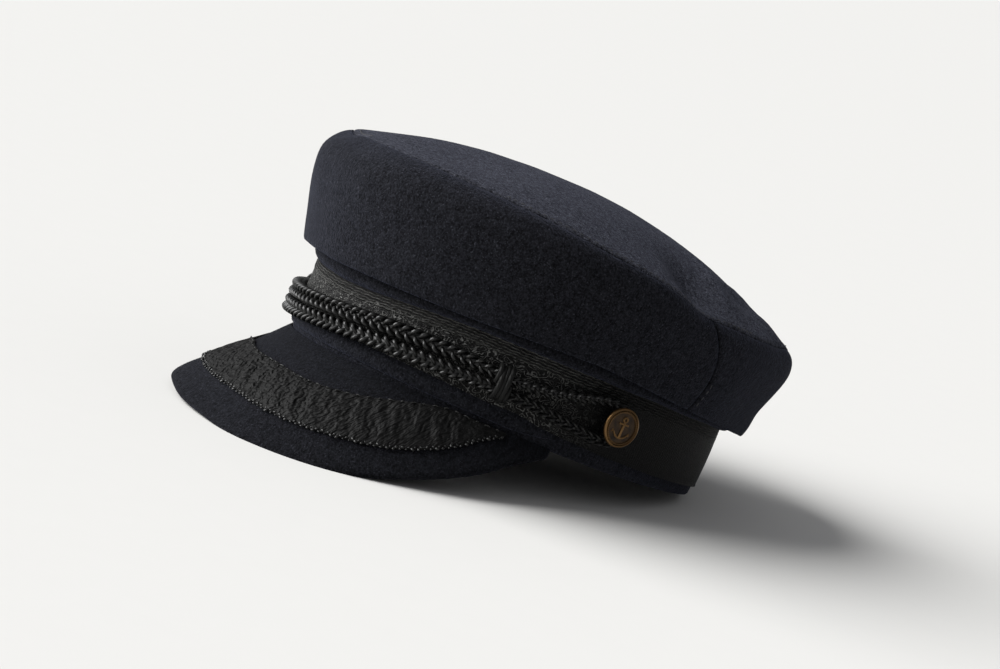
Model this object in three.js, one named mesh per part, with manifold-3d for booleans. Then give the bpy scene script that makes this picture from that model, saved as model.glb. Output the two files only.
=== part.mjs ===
// Sailor cap: a soft wool crown on a stiff band, with a covered peak, a ribbon round the band,
// a gathered trim across the peak and a doubled braided cord held by two shank buttons.
// Millimetres. In the cap's own frame the peak points to -Y, the wearer's left is +X and the rim
// lies in z = 0. The finished cap is tipped back until its peak and rim both stand on the floor.
import * as THREE from "three";
import { mergeVertices } from "three/addons/utils/BufferGeometryUtils.js";
import Module from "manifold-3d";

// Driving dimensions of the band and the cloth
const BAND_HALF_LENGTH = 100.5;
const BAND_HALF_WIDTH = 85;
const BAND_HEIGHT = 46;
const BAND_WALL = 2;
const CLOTH = 2;
const GAP = 0.3;
const STEPS_ROUND = 72;
const MITRE_LIMIT = 0.5;
const WELD = 1e-4;

// Ribbon round the band, its edges a little higher at the sides
const RIBBON_THICK = 1;
const RIBBON_EDGES = [
  { at: 0, bottom: 4.5, top: 31 },
  { at: 45, bottom: 5.5, top: 35.5 },
  { at: 90, bottom: 6, top: 36 },
  { at: 180, bottom: 5, top: 31.5 },
];

// Side of the crown, a row for each section from the front (0 degrees) round to the back (180).
// A pair is how far out from the band's face and how high the middle of the cloth runs.
const CROWN_SECTIONS = [
  { at: 0, fold: [9.5, 37.3], middle: [16.5, 62], shoulder: [18.5, 79], seam: [8.5, 87.5] },
  { at: 40, fold: [8.5, 39], middle: [14, 62.5], shoulder: [17, 79.5], seam: [9.5, 88] },
  { at: 75, fold: [8, 41.5], middle: [14.5, 62], shoulder: [15.5, 77], seam: [12.5, 83.5] },
  { at: 100, fold: [8, 38.5], middle: [14, 56.5], shoulder: [16, 70], seam: [13.5, 77] },
  { at: 140, fold: [9, 34.5], middle: [15, 50], shoulder: [20.5, 68], seam: [16, 76] },
  { at: 180, fold: [11, 32], middle: [17, 46], shoulder: [24, 64], seam: [17, 74.5] },
];
const FOLD_RISE = { out: 2.2, up: 7 };
const HIP_SHARE = 0.45;
const PROFILE_STEPS = 11;
const SIDE_SEAM = 98.5;
const FRONT_STEPS = 40;
const BACK_STEPS = 32;

// Broad soft dents in the side of the crown: where, how wide in degrees, how deep
const SIDE_DENTS = [
  { at: -64, spread: 16, depth: 1.6 },
  { at: 22, spread: 14, depth: 1.2 },
  { at: 88, spread: 12, depth: 1.5 },
  { at: 150, spread: 18, depth: 1.8 },
  { at: 232, spread: 16, depth: 1.6 },
];

// Top panel: a dome over the seam, with soft dents placed in plan
const TOP_PEAK_UP = 104;
const TOP_PEAK_BACK = 4;
const TOP_REACHES = [0.93, 0.8, 0.62, 0.42, 0.2];
const TOP_NEAR_SEAM = 0.97;
const TOP_DENT_FADE = 6;
const TOP_DENTS = [
  { left: 72, back: 62, spread: 24, depth: 5 },
  { left: -60, back: 74, spread: 22, depth: 3 },
  { left: 18, back: -70, spread: 26, depth: 2 },
];

// Peak, a row for each share of the way from its middle (0) to its ends (1)
const PEAK_END_ANGLE = 74;
const PEAK_ROOT_UP = 1;
const PEAK_BOW = 0.4;
const PEAK_FORWARD = 0.5;
const PEAK_BEVEL = { in: 1.2, share: 0.3 };
const PEAK_STEPS = 36;
const PEAK_ACROSS = 5;
const PEAK_SECTIONS = [
  { at: 0, length: 58.5, droop: 46, thick: 3 },
  { at: 0.25, length: 58.5, droop: 46.5, thick: 3 },
  { at: 0.5, length: 53.5, droop: 48, thick: 3 },
  { at: 0.8, length: 29, droop: 51, thick: 3 },
  { at: 1, length: 5, droop: 52, thick: 2.2 },
];

// Gathered trim on the peak: its edges by distance from the band, over the same shares
const TRIM_THICK = 1;
const TRIM_STEPS = 72;
const TRIM_ACROSS = 3;
const TRIM_END = 0.84;
const TRIM_SETBACK = 2;
const TRIM_GATHER = { height: 0.5, count: 12, slant: 0.8 };
const TRIM_EDGES = [
  { at: 0, inner: 20, outer: 43.5 },
  { at: 0.2, inner: 20, outer: 44.5 },
  { at: 0.35, inner: 16, outer: 43.5 },
  { at: 0.55, inner: 5, outer: 36 },
  { at: 0.63, inner: 1.5, outer: 30 },
  { at: 0.72, inner: 1.5, outer: 20 },
  { at: TRIM_END, inner: 1.5, outer: 5 },
];

// Doubled cord over the front of the band. Its two runs lie half their distance apart above and
// below a middle line, which hangs a little lower on the wearer's right than on the left.
const CORD_STEPS = 80;
const CORD_SIDES = 8;
const CORD_ROUTE = [
  { at: 0, out: 4.6, left: 14, right: 14, apart: 7.2 },
  { at: 12, out: 4.6, left: 15.6, right: 13, apart: 7.2 },
  { at: 24, out: 4.6, left: 17.3, right: 12.6, apart: 7.4 },
  { at: 36, out: 4.8, left: 18.4, right: 12.8, apart: 7.6 },
  { at: 45, out: 5.6, left: 18.9, right: 13.6, apart: 7.2 },
  { at: 52, out: 6.9, left: 19, right: 14.6, apart: 6 },
  { at: 59, out: 6.9, left: 18.8, right: 15.4, apart: 6 },
  { at: 64, out: 5.6, left: 18.9, right: 16.6, apart: 7.2 },
  { at: 70, out: 4.7, left: 19.2, right: 18, apart: 9.8 },
  { at: 77, out: 4.5, left: 20.1, right: 19.7, apart: 14.2 },
  { at: 82, out: 4.5, left: 20.6, right: 20.6, apart: 17 },
];
const CORD_SIZES = [
  { at: 0, tall: 6.8, deep: 5.6 },
  { at: 38, tall: 6.8, deep: 5.6 },
  { at: 51, tall: 5.4, deep: 5.2 },
  { at: 180, tall: 5.2, deep: 5.2 },
];
const EYE_TURNS = [60, 30, 0, -30, -60];

// Whipped knots round both runs of the cord
const KNOT_AT = 55.5;
const KNOT_LENGTH = 8;
const KNOT_WRAPS = 4;
const KNOT_SIDES = 14;
const KNOT_BORE = { deep: 3.6, tall: 6.3 };
const KNOT_CREST = 1.5;
const KNOT_VALLEY = 1.1;

// Shank buttons
const BUTTON_AT = 86;
const BUTTON_UP = 20.8;
const BUTTON_RADIUS = 8.6;
const BUTTON_SEGMENTS = 20;
const SHANK_RADIUS = 2;
const SHANK_LENGTH = 5.9;
const BUTTON_EDGE = 1.7;
const BUTTON_CHAMFER = { in: 0.6, up: 0.7 };
const BUTTON_BEAD = { crest: 0.5, inner: 1.1, foot: 1.5, up: 0.6 };
const BUTTON_FACE_RISE = 0.4;
const BUTTON_CURVE = 4;

// Plain anchor in relief on the button's face, by its centre lines and widths
const ANCHOR_RELIEF = 0.5;
const ANCHOR_RING = { up: 3.9, outer: 1.4, inner: 0.6 };
const ANCHOR_STOCK = { half: 2.8, low: 1.3, high: 2.2 };
const ANCHOR_SHANK = { half: 0.6, low: -4.4, high: 2.8 };
const ANCHOR_ARMS = {
  outer: { up: -0.2, radius: 4.6, from: 205, to: 335 },
  inner: { up: 0.6, radius: 4.2, from: 325, to: 215 },
};
const ANCHOR_FLUKE = [
  { out: 5, up: -1 },
  { out: 2.9, up: -2.2 },
  { out: 4.9, up: -3.4 },
];

// Cloth pressed flat where the cap stands
const PRESS = 0.8;
const FLOOR_BLOCK = 500;
const TIP_LIMIT = 30;
const TIP_ROUNDS = 40;

const rad = THREE.MathUtils.degToRad;
const wasm = await Module();
wasm.setup();

const wool = new THREE.MeshStandardMaterial({ color: "#1c2030", roughness: 0.95, metalness: 0 });
const ribbonWeave = new THREE.MeshStandardMaterial({ color: "#171713", roughness: 0.6, metalness: 0 });
const cordSatin = new THREE.MeshStandardMaterial({ color: "#131312", roughness: 0.4, metalness: 0 });
const brass = new THREE.MeshStandardMaterial({ color: "#84662f", roughness: 0.4, metalness: 1 });

// Smooth columns between the rows of a table, level at its first and last row
function smoothRows(rows, columns) {
  const curve = new THREE.CubicInterpolant(
    rows.map((row) => row.at),
    rows.flatMap(columns),
    columns(rows[0]).length
  );
  curve.settings = { endingStart: THREE.ZeroSlopeEnding, endingEnd: THREE.ZeroSlopeEnding };
  return (at) => Array.from(curve.evaluate(at));
}

const ribbonAt = smoothRows(RIBBON_EDGES, (row) => [row.bottom, row.top]);
const crownAt = smoothRows(CROWN_SECTIONS, (row) => [
  ...row.fold,
  ...row.middle,
  ...row.shoulder,
  ...row.seam,
]);
const peakAt = smoothRows(PEAK_SECTIONS, (row) => [row.length, row.droop, row.thick]);
const trimAt = smoothRows(TRIM_EDGES, (row) => [row.inner, row.outer]);
const cordSizeAt = smoothRows(CORD_SIZES, (row) => [row.tall, row.deep]);
const cordAt = smoothRows(CORD_ROUTE, (row) => [row.out, row.left, row.right]);

// Angle from the front in degrees, folded onto one half of the cap
function halfAngle(angle) {
  const turned = Math.abs(angle) % 360;
  return turned > 180 ? 360 - turned : turned;
}

// Point at an angle from the front towards the wearer's left
function onBand(angle, out, up) {
  const turn = rad(angle);
  const left = (BAND_HALF_WIDTH + out) * Math.sin(turn);
  const back = -(BAND_HALF_LENGTH + out) * Math.cos(turn);
  return new THREE.Vector3(left, back, up);
}

// Angle from the front of a point on or near the band
function angleOf(spot) {
  return THREE.MathUtils.radToDeg(Math.atan2(spot.x / BAND_HALF_WIDTH, -spot.y / BAND_HALF_LENGTH));
}

// Level direction straight out of the band at an angle
function outwardAt(angle) {
  const turn = rad(angle);
  const left = Math.sin(turn) / BAND_HALF_WIDTH;
  const back = -Math.cos(turn) / BAND_HALF_LENGTH;
  return new THREE.Vector3(left, back, 0).normalize();
}

// Even steps from one value to another, both included
function steps(from, to, count) {
  return Array.from({ length: count + 1 }, (_, i) => from + ((to - from) * i) / count);
}

// Closed body from points and triangles, turned so that its faces point out
function closedBody(points, faces) {
  const part = ([a, b, c]) => points[a].dot(points[b].clone().cross(points[c]));
  const volume = faces.reduce((sum, face) => sum + part(face), 0);
  const turned = volume < 0 ? faces.map(([a, b, c]) => [a, c, b]) : faces;
  const geometry = new THREE.BufferGeometry().setFromPoints(points);
  geometry.setIndex(turned.flat());
  geometry.computeVertexNormals();
  return geometry;
}

// Quads between two rows of points as triangles
function strip(rowA, rowB, count) {
  return Array.from({ length: count }, (_, i) => {
    const j = (i + 1) % count;
    return [
      [rowA + i, rowA + j, rowB + j],
      [rowA + i, rowB + j, rowB + i],
    ];
  }).flat();
}

// Caps for a wall's end, whose contour runs along one face and back along the other
function wallCap(row, count, atStart) {
  const faces = [];
  for (let i = 0; i < count / 2 - 1; i++) {
    const far = count - 1 - i;
    faces.push([row + i, row + i + 1, row + far - 1]);
    faces.push([row + i, row + far - 1, row + far]);
  }
  return atStart ? faces.map(([a, b, c]) => [a, c, b]) : faces;
}

// Body through like contours of points: a full ring, or a wall capped at both ends
function loft(contours, isRing) {
  const count = contours[0].length;
  const last = contours.length - 1;
  const faces = contours.slice(0, last).flatMap((_, row) => strip(row * count, (row + 1) * count, count));
  if (isRing) {
    faces.push(...strip(last * count, 0, count));
  } else {
    faces.push(...wallCap(0, count, true), ...wallCap(last * count, count, false));
  }
  return closedBody(contours.flat(), faces);
}

// Both faces of a cloth whose middle follows a line of (out, up) points, mitred at each point
// and, at the line's end, against a cloth that goes on another way
function wallContour(line, thick, endWay) {
  const ways = line.slice(1).map((spot, i) => spot.clone().sub(line[i]).normalize());
  const before = [ways[0], ...ways];
  const after = [...ways, endWay];
  const sides = line.map((_, i) => {
    const along = before[i].clone().add(after[i]).normalize();
    const reach = thick / 2 / Math.max(along.dot(before[i]), MITRE_LIMIT);
    return new THREE.Vector2(along.y, -along.x).multiplyScalar(reach);
  });
  const outer = line.map((spot, i) => spot.clone().add(sides[i]));
  const inner = line.map((spot, i) => spot.clone().sub(sides[i]));
  return [...outer, ...inner.reverse()];
}

// Solid for joining and cutting, and back
function toSolid(geometry) {
  const bare = geometry.clone();
  bare.deleteAttribute("normal");
  bare.deleteAttribute("uv");
  const merged = mergeVertices(bare, WELD);
  return new wasm.Manifold(
    new wasm.Mesh({
      numProp: 3,
      vertProperties: new Float32Array(merged.attributes.position.array),
      triVerts: new Uint32Array(merged.index.array),
    })
  );
}

function toGeometry(solid) {
  const mesh = solid.getMesh();
  const geometry = new THREE.BufferGeometry();
  geometry.setAttribute("position", new THREE.BufferAttribute(new Float32Array(mesh.vertProperties), 3));
  geometry.setIndex(new THREE.BufferAttribute(new Uint32Array(mesh.triVerts), 1));
  geometry.computeVertexNormals();
  return geometry;
}

// Band: an upright oval wall
function bandBody() {
  const corners = [
    [0, 0],
    [0, BAND_HEIGHT],
    [-BAND_WALL, BAND_HEIGHT],
    [-BAND_WALL, 0],
  ];
  const angles = steps(0, 360, STEPS_ROUND).slice(0, -1);
  return loft(angles.map((angle) => corners.map(([out, up]) => onBand(angle, out, up))), true);
}

// Ribbon lying round the band
function ribbonBody() {
  const near = GAP;
  const far = GAP + RIBBON_THICK;
  const angles = steps(0, 360, STEPS_ROUND).slice(0, -1);
  const contours = angles.map((angle) => {
    const [bottom, top] = ribbonAt(halfAngle(angle));
    return [
      onBand(angle, far, bottom),
      onBand(angle, far, top),
      onBand(angle, near, top),
      onBand(angle, near, bottom),
    ];
  });
  return loft(contours, true);
}

// How far the crown's side is pushed in at an angle
function sideDent(angle) {
  return SIDE_DENTS.reduce((sum, dent) => {
    const away = halfAngle(angle - dent.at) / dent.spread;
    return sum + dent.depth * Math.exp(-away * away);
  }, 0);
}

// Middle line of the crown's side at an angle: off the band, down to the fold, up to the seam
function crownLine(angle) {
  const row = crownAt(halfAngle(angle));
  const [foldOut, foldUp, middleOut, middleUp] = row;
  const [shoulderOut, shoulderUp, seamOut, seamUp] = row.slice(4);
  const dent = sideDent(angle);
  const through = [
    [-BAND_WALL / 2, BAND_HEIGHT + GAP + CLOTH / 2],
    [foldOut * HIP_SHARE, BAND_HEIGHT + CLOTH / 2],
    [foldOut, foldUp],
    [foldOut + FOLD_RISE.out, foldUp + FOLD_RISE.up],
    [middleOut - dent, middleUp],
    [shoulderOut - dent / 2, shoulderUp],
    [seamOut, seamUp],
  ];
  return new THREE.SplineCurve(through.map(([out, up]) => new THREE.Vector2(out, up)));
}

// How far the top panel is pushed down at a place in plan
function topDent(left, back) {
  return TOP_DENTS.reduce((sum, dent) => {
    const away = Math.hypot(left - dent.left, back - dent.back) / dent.spread;
    return sum + dent.depth * Math.exp(-away * away);
  }, 0);
}

// Where the top panel's cloth runs, from the seam (reach 1) to the middle of the dome (reach 0)
function topPoint(seam, reach) {
  const left = seam.x * reach;
  const back = TOP_PEAK_BACK + (seam.y - TOP_PEAK_BACK) * reach;
  const up = TOP_PEAK_UP + (seam.z - TOP_PEAK_UP) * reach ** 2;
  return new THREE.Vector3(left, back, up - topDent(left, back) * (1 - reach ** TOP_DENT_FADE));
}

// Direction, in (out, up), in which the top panel leaves the seam
function topWay(angle) {
  const [out, up] = crownAt(halfAngle(angle)).slice(-2);
  const seam = onBand(angle, out, up);
  const inner = topPoint(seam, TOP_NEAR_SEAM);
  const inward = Math.hypot(seam.x - inner.x, seam.y - inner.y);
  return new THREE.Vector2(-inward, inner.z - seam.z).normalize();
}

// Section of the crown's side at an angle, and the line on which the top panel is mitred to it
function crownSection(angle) {
  const line = crownLine(angle).getPoints(PROFILE_STEPS);
  const seam = line[PROFILE_STEPS];
  const onward = topWay(angle);
  const contour = wallContour(line, CLOTH, onward);
  const arriving = seam.clone().sub(line[PROFILE_STEPS - 1]).normalize();
  const across = arriving.add(onward).normalize();
  return { contour, seam, across };
}

// One side panel between two angles, half a gap short of its neighbours
function crownPanel(from, to, count) {
  const half = THREE.MathUtils.radToDeg(GAP / 2 / BAND_HALF_LENGTH);
  const contours = steps(from + half, to - half, count).map((angle) => {
    const { contour, across } = crownSection(angle);
    contour[PROFILE_STEPS].addScaledVector(across, -GAP / 2);
    contour[PROFILE_STEPS + 1].addScaledVector(across, -GAP / 2);
    return contour.map((spot) => onBand(angle, spot.x, spot.y));
  });
  return loft(contours, false);
}

// Domed top panel: rings of points over and under, closed at the middle and along the seam
function topBody() {
  const angles = steps(0, 360, STEPS_ROUND).slice(0, -1);
  const seams = angles.map((angle) => {
    const { contour, seam, across } = crownSection(angle);
    const [over, under] = contour.slice(PROFILE_STEPS, PROFILE_STEPS + 2);
    return [seam, over, under].map((spot) => {
      const moved = spot.clone().addScaledVector(across, GAP / 2);
      return onBand(angle, moved.x, moved.y);
    });
  });
  const lift = new THREE.Vector3(0, 0, CLOTH / 2);
  const over = TOP_REACHES.map((reach) => seams.map(([seam]) => topPoint(seam, reach).add(lift)));
  const under = TOP_REACHES.map((reach) => seams.map(([seam]) => topPoint(seam, reach).sub(lift)));
  const rings = [...over.reverse(), seams.map((seam) => seam[1]), seams.map((seam) => seam[2]), ...under];
  const points = rings.flat();
  const count = STEPS_ROUND;
  const faces = rings.slice(1).flatMap((_, row) => strip(row * count, (row + 1) * count, count));
  const middle = topPoint(seams[0][0], 0);
  points.push(middle.clone().add(lift), middle.clone().sub(lift));
  const lastRow = (rings.length - 1) * count;
  for (let i = 0; i < count; i++) {
    const j = (i + 1) % count;
    faces.push([points.length - 2, j, i]);
    faces.push([points.length - 1, lastRow + i, lastRow + j]);
  }
  return closedBody(points, faces);
}

// Frame of the peak at a signed share of its half width: root on the band, way out and sizes
function peakFrame(share) {
  const angle = PEAK_END_ANGLE * share;
  const [length, droop, thick] = peakAt(Math.abs(share));
  const ahead = new THREE.Vector3(0, -1, 0);
  const way = outwardAt(angle).lerp(ahead, PEAK_FORWARD).normalize();
  return { root: onBand(angle, 0, PEAK_ROOT_UP), way, length, droop: rad(droop), thick };
}

// Point of the peak at a distance along its upper face and a height over that face
function onPeak(frame, along, over) {
  const part = along / frame.length;
  const bow = ((4 * PEAK_BOW * frame.length) / PEAK_SECTIONS[0].length) * part * (1 - part);
  const lift = bow + over;
  const out = GAP + along * Math.cos(frame.droop) + lift * Math.sin(frame.droop);
  const up = -along * Math.sin(frame.droop) + lift * Math.cos(frame.droop);
  return frame.root.clone().addScaledVector(frame.way, out).add(new THREE.Vector3(0, 0, up));
}

// Contour of the peak: its root stands upright against the band, its edge is bevelled
function peakContour(share) {
  const frame = peakFrame(share);
  const edge = frame.length - PEAK_BEVEL.in;
  const rootSet = Math.min(frame.thick * Math.tan(frame.droop), edge / 2);
  const over = steps(0, edge, PEAK_ACROSS).map((along) => onPeak(frame, along, 0));
  const under = steps(rootSet, edge, PEAK_ACROSS).map((along) => onPeak(frame, along, -frame.thick));
  over.push(onPeak(frame, frame.length, -frame.thick * PEAK_BEVEL.share));
  under.push(onPeak(frame, frame.length, -frame.thick * (1 - PEAK_BEVEL.share)));
  return [...over, ...under.reverse()];
}

const peakContours = steps(-1, 1, PEAK_STEPS).map(peakContour);

// Gathered strip lying on the peak's upper face
function trimBody() {
  const contours = steps(-TRIM_END, TRIM_END, TRIM_STEPS).map((share) => {
    const frame = peakFrame(share);
    const [inner, outer] = trimAt(Math.abs(share));
    const spots = steps(inner, Math.min(outer, frame.length - TRIM_SETBACK), TRIM_ACROSS);
    const over = spots.map((along, i) => {
      const within = Math.sin((Math.PI * i) / TRIM_ACROSS);
      const phase = share * TRIM_GATHER.count + (TRIM_GATHER.slant * i) / TRIM_ACROSS;
      const wave = (1 + Math.sin(2 * Math.PI * phase)) / 2;
      const gather = TRIM_GATHER.height * within * wave;
      return onPeak(frame, along, GAP + TRIM_THICK + gather);
    });
    const under = spots.map((along) => onPeak(frame, along, GAP));
    return [...over, ...under.reverse()];
  });
  return loft(contours, false);
}

// Millimetres along the band for a degree at an angle
function arcPerDegree(angle) {
  return onBand(angle, 0, 0).distanceTo(onBand(angle + 1, 0, 0));
}

// Half of the cord's loop: out along the upper run, round the button's shank, back below
function cordHalf(word, side) {
  const tail = CORD_ROUTE[CORD_ROUTE.length - 1];
  const [, deep] = cordSizeAt(BUTTON_AT);
  const radius = tail.apart / 2;
  const beyond = SHANK_RADIUS + GAP + deep / 2;
  const perDegree = arcPerDegree(BUTTON_AT);
  const eyeAngle = BUTTON_AT + (beyond - radius) / perDegree;
  const upper = CORD_ROUTE.map((row) => onBand(side * row.at, row.out, row[word] + row.apart / 2));
  const lower = CORD_ROUTE.map((row) => onBand(side * row.at, row.out, row[word] - row.apart / 2));
  const eye = EYE_TURNS.map((turn) => {
    const along = (radius * Math.cos(rad(turn))) / perDegree;
    return onBand(side * (eyeAngle + along), tail.out, tail[word] + radius * Math.sin(rad(turn)));
  });
  return [...upper, ...eye, ...lower.reverse()];
}

// The cord's closed loop, an oval section carried along both halves of the route
function cordBody() {
  const right = cordHalf("right", -1).slice(1, -1).reverse();
  const route = new THREE.CatmullRomCurve3([...cordHalf("left", 1), ...right], true);
  const contours = steps(0, 1, CORD_STEPS).slice(0, -1).map((along) => {
    const spot = route.getPointAt(along);
    const way = route.getTangentAt(along);
    const angle = angleOf(spot);
    const [tall, deep] = cordSizeAt(Math.abs(angle));
    const across = way.clone().cross(outwardAt(angle)).normalize();
    const out = across.clone().cross(way).normalize();
    return steps(0, 2 * Math.PI, CORD_SIDES).slice(0, -1).map((turnRound) => {
      const side = across.clone().multiplyScalar((tall / 2) * Math.sin(turnRound));
      return spot.clone().add(side).addScaledVector(out, (deep / 2) * Math.cos(turnRound));
    });
  });
  return loft(contours, true);
}

// Whipped collar round both runs: crests and valleys along it, an oval bore through it
function knotBody(side) {
  const angle = side * KNOT_AT;
  const [out, left, right] = cordAt(KNOT_AT);
  const centre = onBand(angle, out, side > 0 ? left : right);
  const outward = outwardAt(angle);
  const along = new THREE.Vector3(0, 0, 1).cross(outward);
  const rows = steps(-KNOT_LENGTH / 2, KNOT_LENGTH / 2, KNOT_WRAPS * 2);
  const contours = steps(0, 2 * Math.PI, KNOT_SIDES).slice(0, -1).map((turn) => {
    const spot = (distance, swell) =>
      centre
        .clone()
        .addScaledVector(along, distance)
        .addScaledVector(outward, (KNOT_BORE.deep + swell) * Math.cos(turn))
        .add(new THREE.Vector3(0, 0, (KNOT_BORE.tall + swell) * Math.sin(turn)));
    const wraps = rows.map((distance, i) => spot(distance, i % 2 ? KNOT_CREST : KNOT_VALLEY));
    return [...wraps, spot(KNOT_LENGTH / 2, 0), spot(-KNOT_LENGTH / 2, 0)];
  });
  return loft(contours, true);
}

// Flat outline raised from the button's face, in the face's own plane
function raised(shape) {
  const settings = {
    depth: BUTTON_FACE_RISE + ANCHOR_RELIEF,
    bevelEnabled: false,
    curveSegments: BUTTON_CURVE,
  };
  const geometry = new THREE.ExtrudeGeometry(shape, settings);
  geometry.rotateX(-Math.PI / 2);
  geometry.translate(0, SHANK_LENGTH + BUTTON_EDGE, 0);
  return toSolid(geometry);
}

// Upright or level bar of the anchor
function bar({ half, low, high }) {
  const corners = [
    [-half, low],
    [half, low],
    [half, high],
    [-half, high],
  ];
  return new THREE.Shape(corners.map(([x, y]) => new THREE.Vector2(x, y)));
}

// The anchor: ring, stock, shank and two curved arms with their flukes
function anchorSolids() {
  const ring = new THREE.Shape().absarc(0, ANCHOR_RING.up, ANCHOR_RING.outer, 0, 2 * Math.PI);
  ring.holes.push(new THREE.Path().absarc(0, ANCHOR_RING.up, ANCHOR_RING.inner, 0, 2 * Math.PI));
  const { outer, inner } = ANCHOR_ARMS;
  const arms = new THREE.Shape();
  arms.absarc(0, outer.up, outer.radius, rad(outer.from), rad(outer.to));
  arms.absarc(0, inner.up, inner.radius, rad(inner.from), rad(inner.to), true);
  const fluke = (side) =>
    new THREE.Shape(ANCHOR_FLUKE.map((spot) => new THREE.Vector2(side * spot.out, spot.up)));
  return [ring, bar(ANCHOR_STOCK), bar(ANCHOR_SHANK), arms, fluke(1), fluke(-1)].map(raised);
}

// Turned button with a beaded edge, its shank down and the anchor on its face
function buttonGeometry() {
  const back = SHANK_LENGTH;
  const rim = SHANK_LENGTH + BUTTON_EDGE;
  const profile = [
    [0, 0],
    [SHANK_RADIUS, 0],
    [SHANK_RADIUS, back],
    [BUTTON_RADIUS - BUTTON_CHAMFER.in, back],
    [BUTTON_RADIUS, back + BUTTON_CHAMFER.up],
    [BUTTON_RADIUS, rim],
    [BUTTON_RADIUS - BUTTON_BEAD.crest, rim + BUTTON_BEAD.up],
    [BUTTON_RADIUS - BUTTON_BEAD.inner, rim + BUTTON_BEAD.up],
    [BUTTON_RADIUS - BUTTON_BEAD.foot, rim],
    [0, rim + BUTTON_FACE_RISE],
  ];
  const points = profile.map(([x, y]) => new THREE.Vector2(x, y));
  const disc = toSolid(new THREE.LatheGeometry(points, BUTTON_SEGMENTS));
  return toGeometry(anchorSolids().reduce((solid, piece) => solid.add(piece), disc));
}

// The pieces, in the cap's own frame
const cap = new THREE.Group();

// Name a piece and put it on the cap
function addPiece(name, geometry, material) {
  const mesh = new THREE.Mesh(geometry, material);
  mesh.name = name;
  cap.add(mesh);
  return mesh;
}

addPiece("crown_top", topBody(), wool);
addPiece("crown_front", crownPanel(-SIDE_SEAM, SIDE_SEAM, FRONT_STEPS), wool);
addPiece("crown_back", crownPanel(SIDE_SEAM, 360 - SIDE_SEAM, BACK_STEPS), wool);
addPiece("band_ribbon", ribbonBody(), ribbonWeave);
addPiece("peak_trim", trimBody(), ribbonWeave);
addPiece("cord_loop", cordBody(), cordSatin);

const buttonShape = buttonGeometry();
for (const [word, side] of [["left", 1], ["right", -1]]) {
  addPiece(`knot_${word}`, knotBody(side), cordSatin);
  const button = addPiece(`button_${word}`, buttonShape, brass);
  const outward = outwardAt(side * BUTTON_AT);
  const up = new THREE.Vector3(0, 0, 1);
  const across = outward.clone().cross(up.clone().negate());
  button.position.copy(onBand(side * BUTTON_AT, 2 * GAP + RIBBON_THICK, BUTTON_UP));
  button.quaternion.setFromRotationMatrix(new THREE.Matrix4().makeBasis(across, outward, up.negate()));
}

// Height of a point over the floor once the cap is tipped back, up to the lift
function tippedHeight(spot, tip) {
  return spot.z * Math.cos(tip) - spot.y * Math.sin(tip);
}

// Lowest of some points once tipped
function lowest(spots, tip) {
  return Math.min(...spots.map((spot) => tippedHeight(spot, tip)));
}

// Tip the cap back until the peak's edge and the back of the rim are equally low
function findTip() {
  const rim = steps(90, 270, STEPS_ROUND).map((angle) => onBand(angle, 0, 0));
  const edge = peakContours.flat();
  let low = 0;
  let high = rad(TIP_LIMIT);
  for (let round = 0; round < TIP_ROUNDS; round++) {
    const tip = (low + high) / 2;
    if (lowest(edge, tip) < lowest(rim, tip)) {
      low = tip;
    } else {
      high = tip;
    }
  }
  return { tip: low, lift: -lowest(rim, low) - PRESS };
}

const stand = findTip();
cap.rotation.x = -stand.tip;
cap.position.z = stand.lift;
cap.updateMatrixWorld(true);

// Floor in the cap's own frame, which presses the peak and the rim flat
const floor = new THREE.BoxGeometry(FLOOR_BLOCK, FLOOR_BLOCK, FLOOR_BLOCK);
floor.translate(0, 0, -FLOOR_BLOCK / 2);
floor.applyMatrix4(cap.matrixWorld.clone().invert());
const floorSolid = toSolid(floor);
addPiece("band", toGeometry(toSolid(bandBody()).subtract(floorSolid)), wool);
addPiece("peak", toGeometry(toSolid(loft(peakContours, false)).subtract(floorSolid)), wool);

// Origin under the middle of the whole cap
const sailorCap = new THREE.Group();
sailorCap.add(cap);
sailorCap.updateMatrixWorld(true);
const middle = new THREE.Box3().setFromObject(sailorCap, true).getCenter(new THREE.Vector3());
cap.position.x -= middle.x;
cap.position.y -= middle.y;

export default sailorCap;
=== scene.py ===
"""Sailor cap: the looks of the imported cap, laid out as an add-on and run as a script."""

import math

import bpy
import numpy as np
from bpy.props import FloatProperty, FloatVectorProperty, IntProperty, PointerProperty
from mathutils import Matrix, Vector, noise
from mathutils.bvhtree import BVHTree
from mathutils.kdtree import KDTree


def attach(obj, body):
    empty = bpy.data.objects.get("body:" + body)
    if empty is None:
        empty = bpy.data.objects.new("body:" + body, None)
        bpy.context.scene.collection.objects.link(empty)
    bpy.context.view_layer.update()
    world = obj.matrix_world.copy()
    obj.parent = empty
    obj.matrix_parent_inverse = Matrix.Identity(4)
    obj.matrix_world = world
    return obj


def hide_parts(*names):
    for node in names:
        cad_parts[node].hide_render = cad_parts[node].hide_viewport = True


bl_info = {
    "name": "Sailor Cap",
    "version": (1, 0, 0),
    "blender": (4, 5, 0),
    "location": "View3D > Sidebar > Sailor Cap",
    "description": "Dresses the packed sailor cap with wool, ribbon, braid and brass",
    "category": "Object",
}

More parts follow.
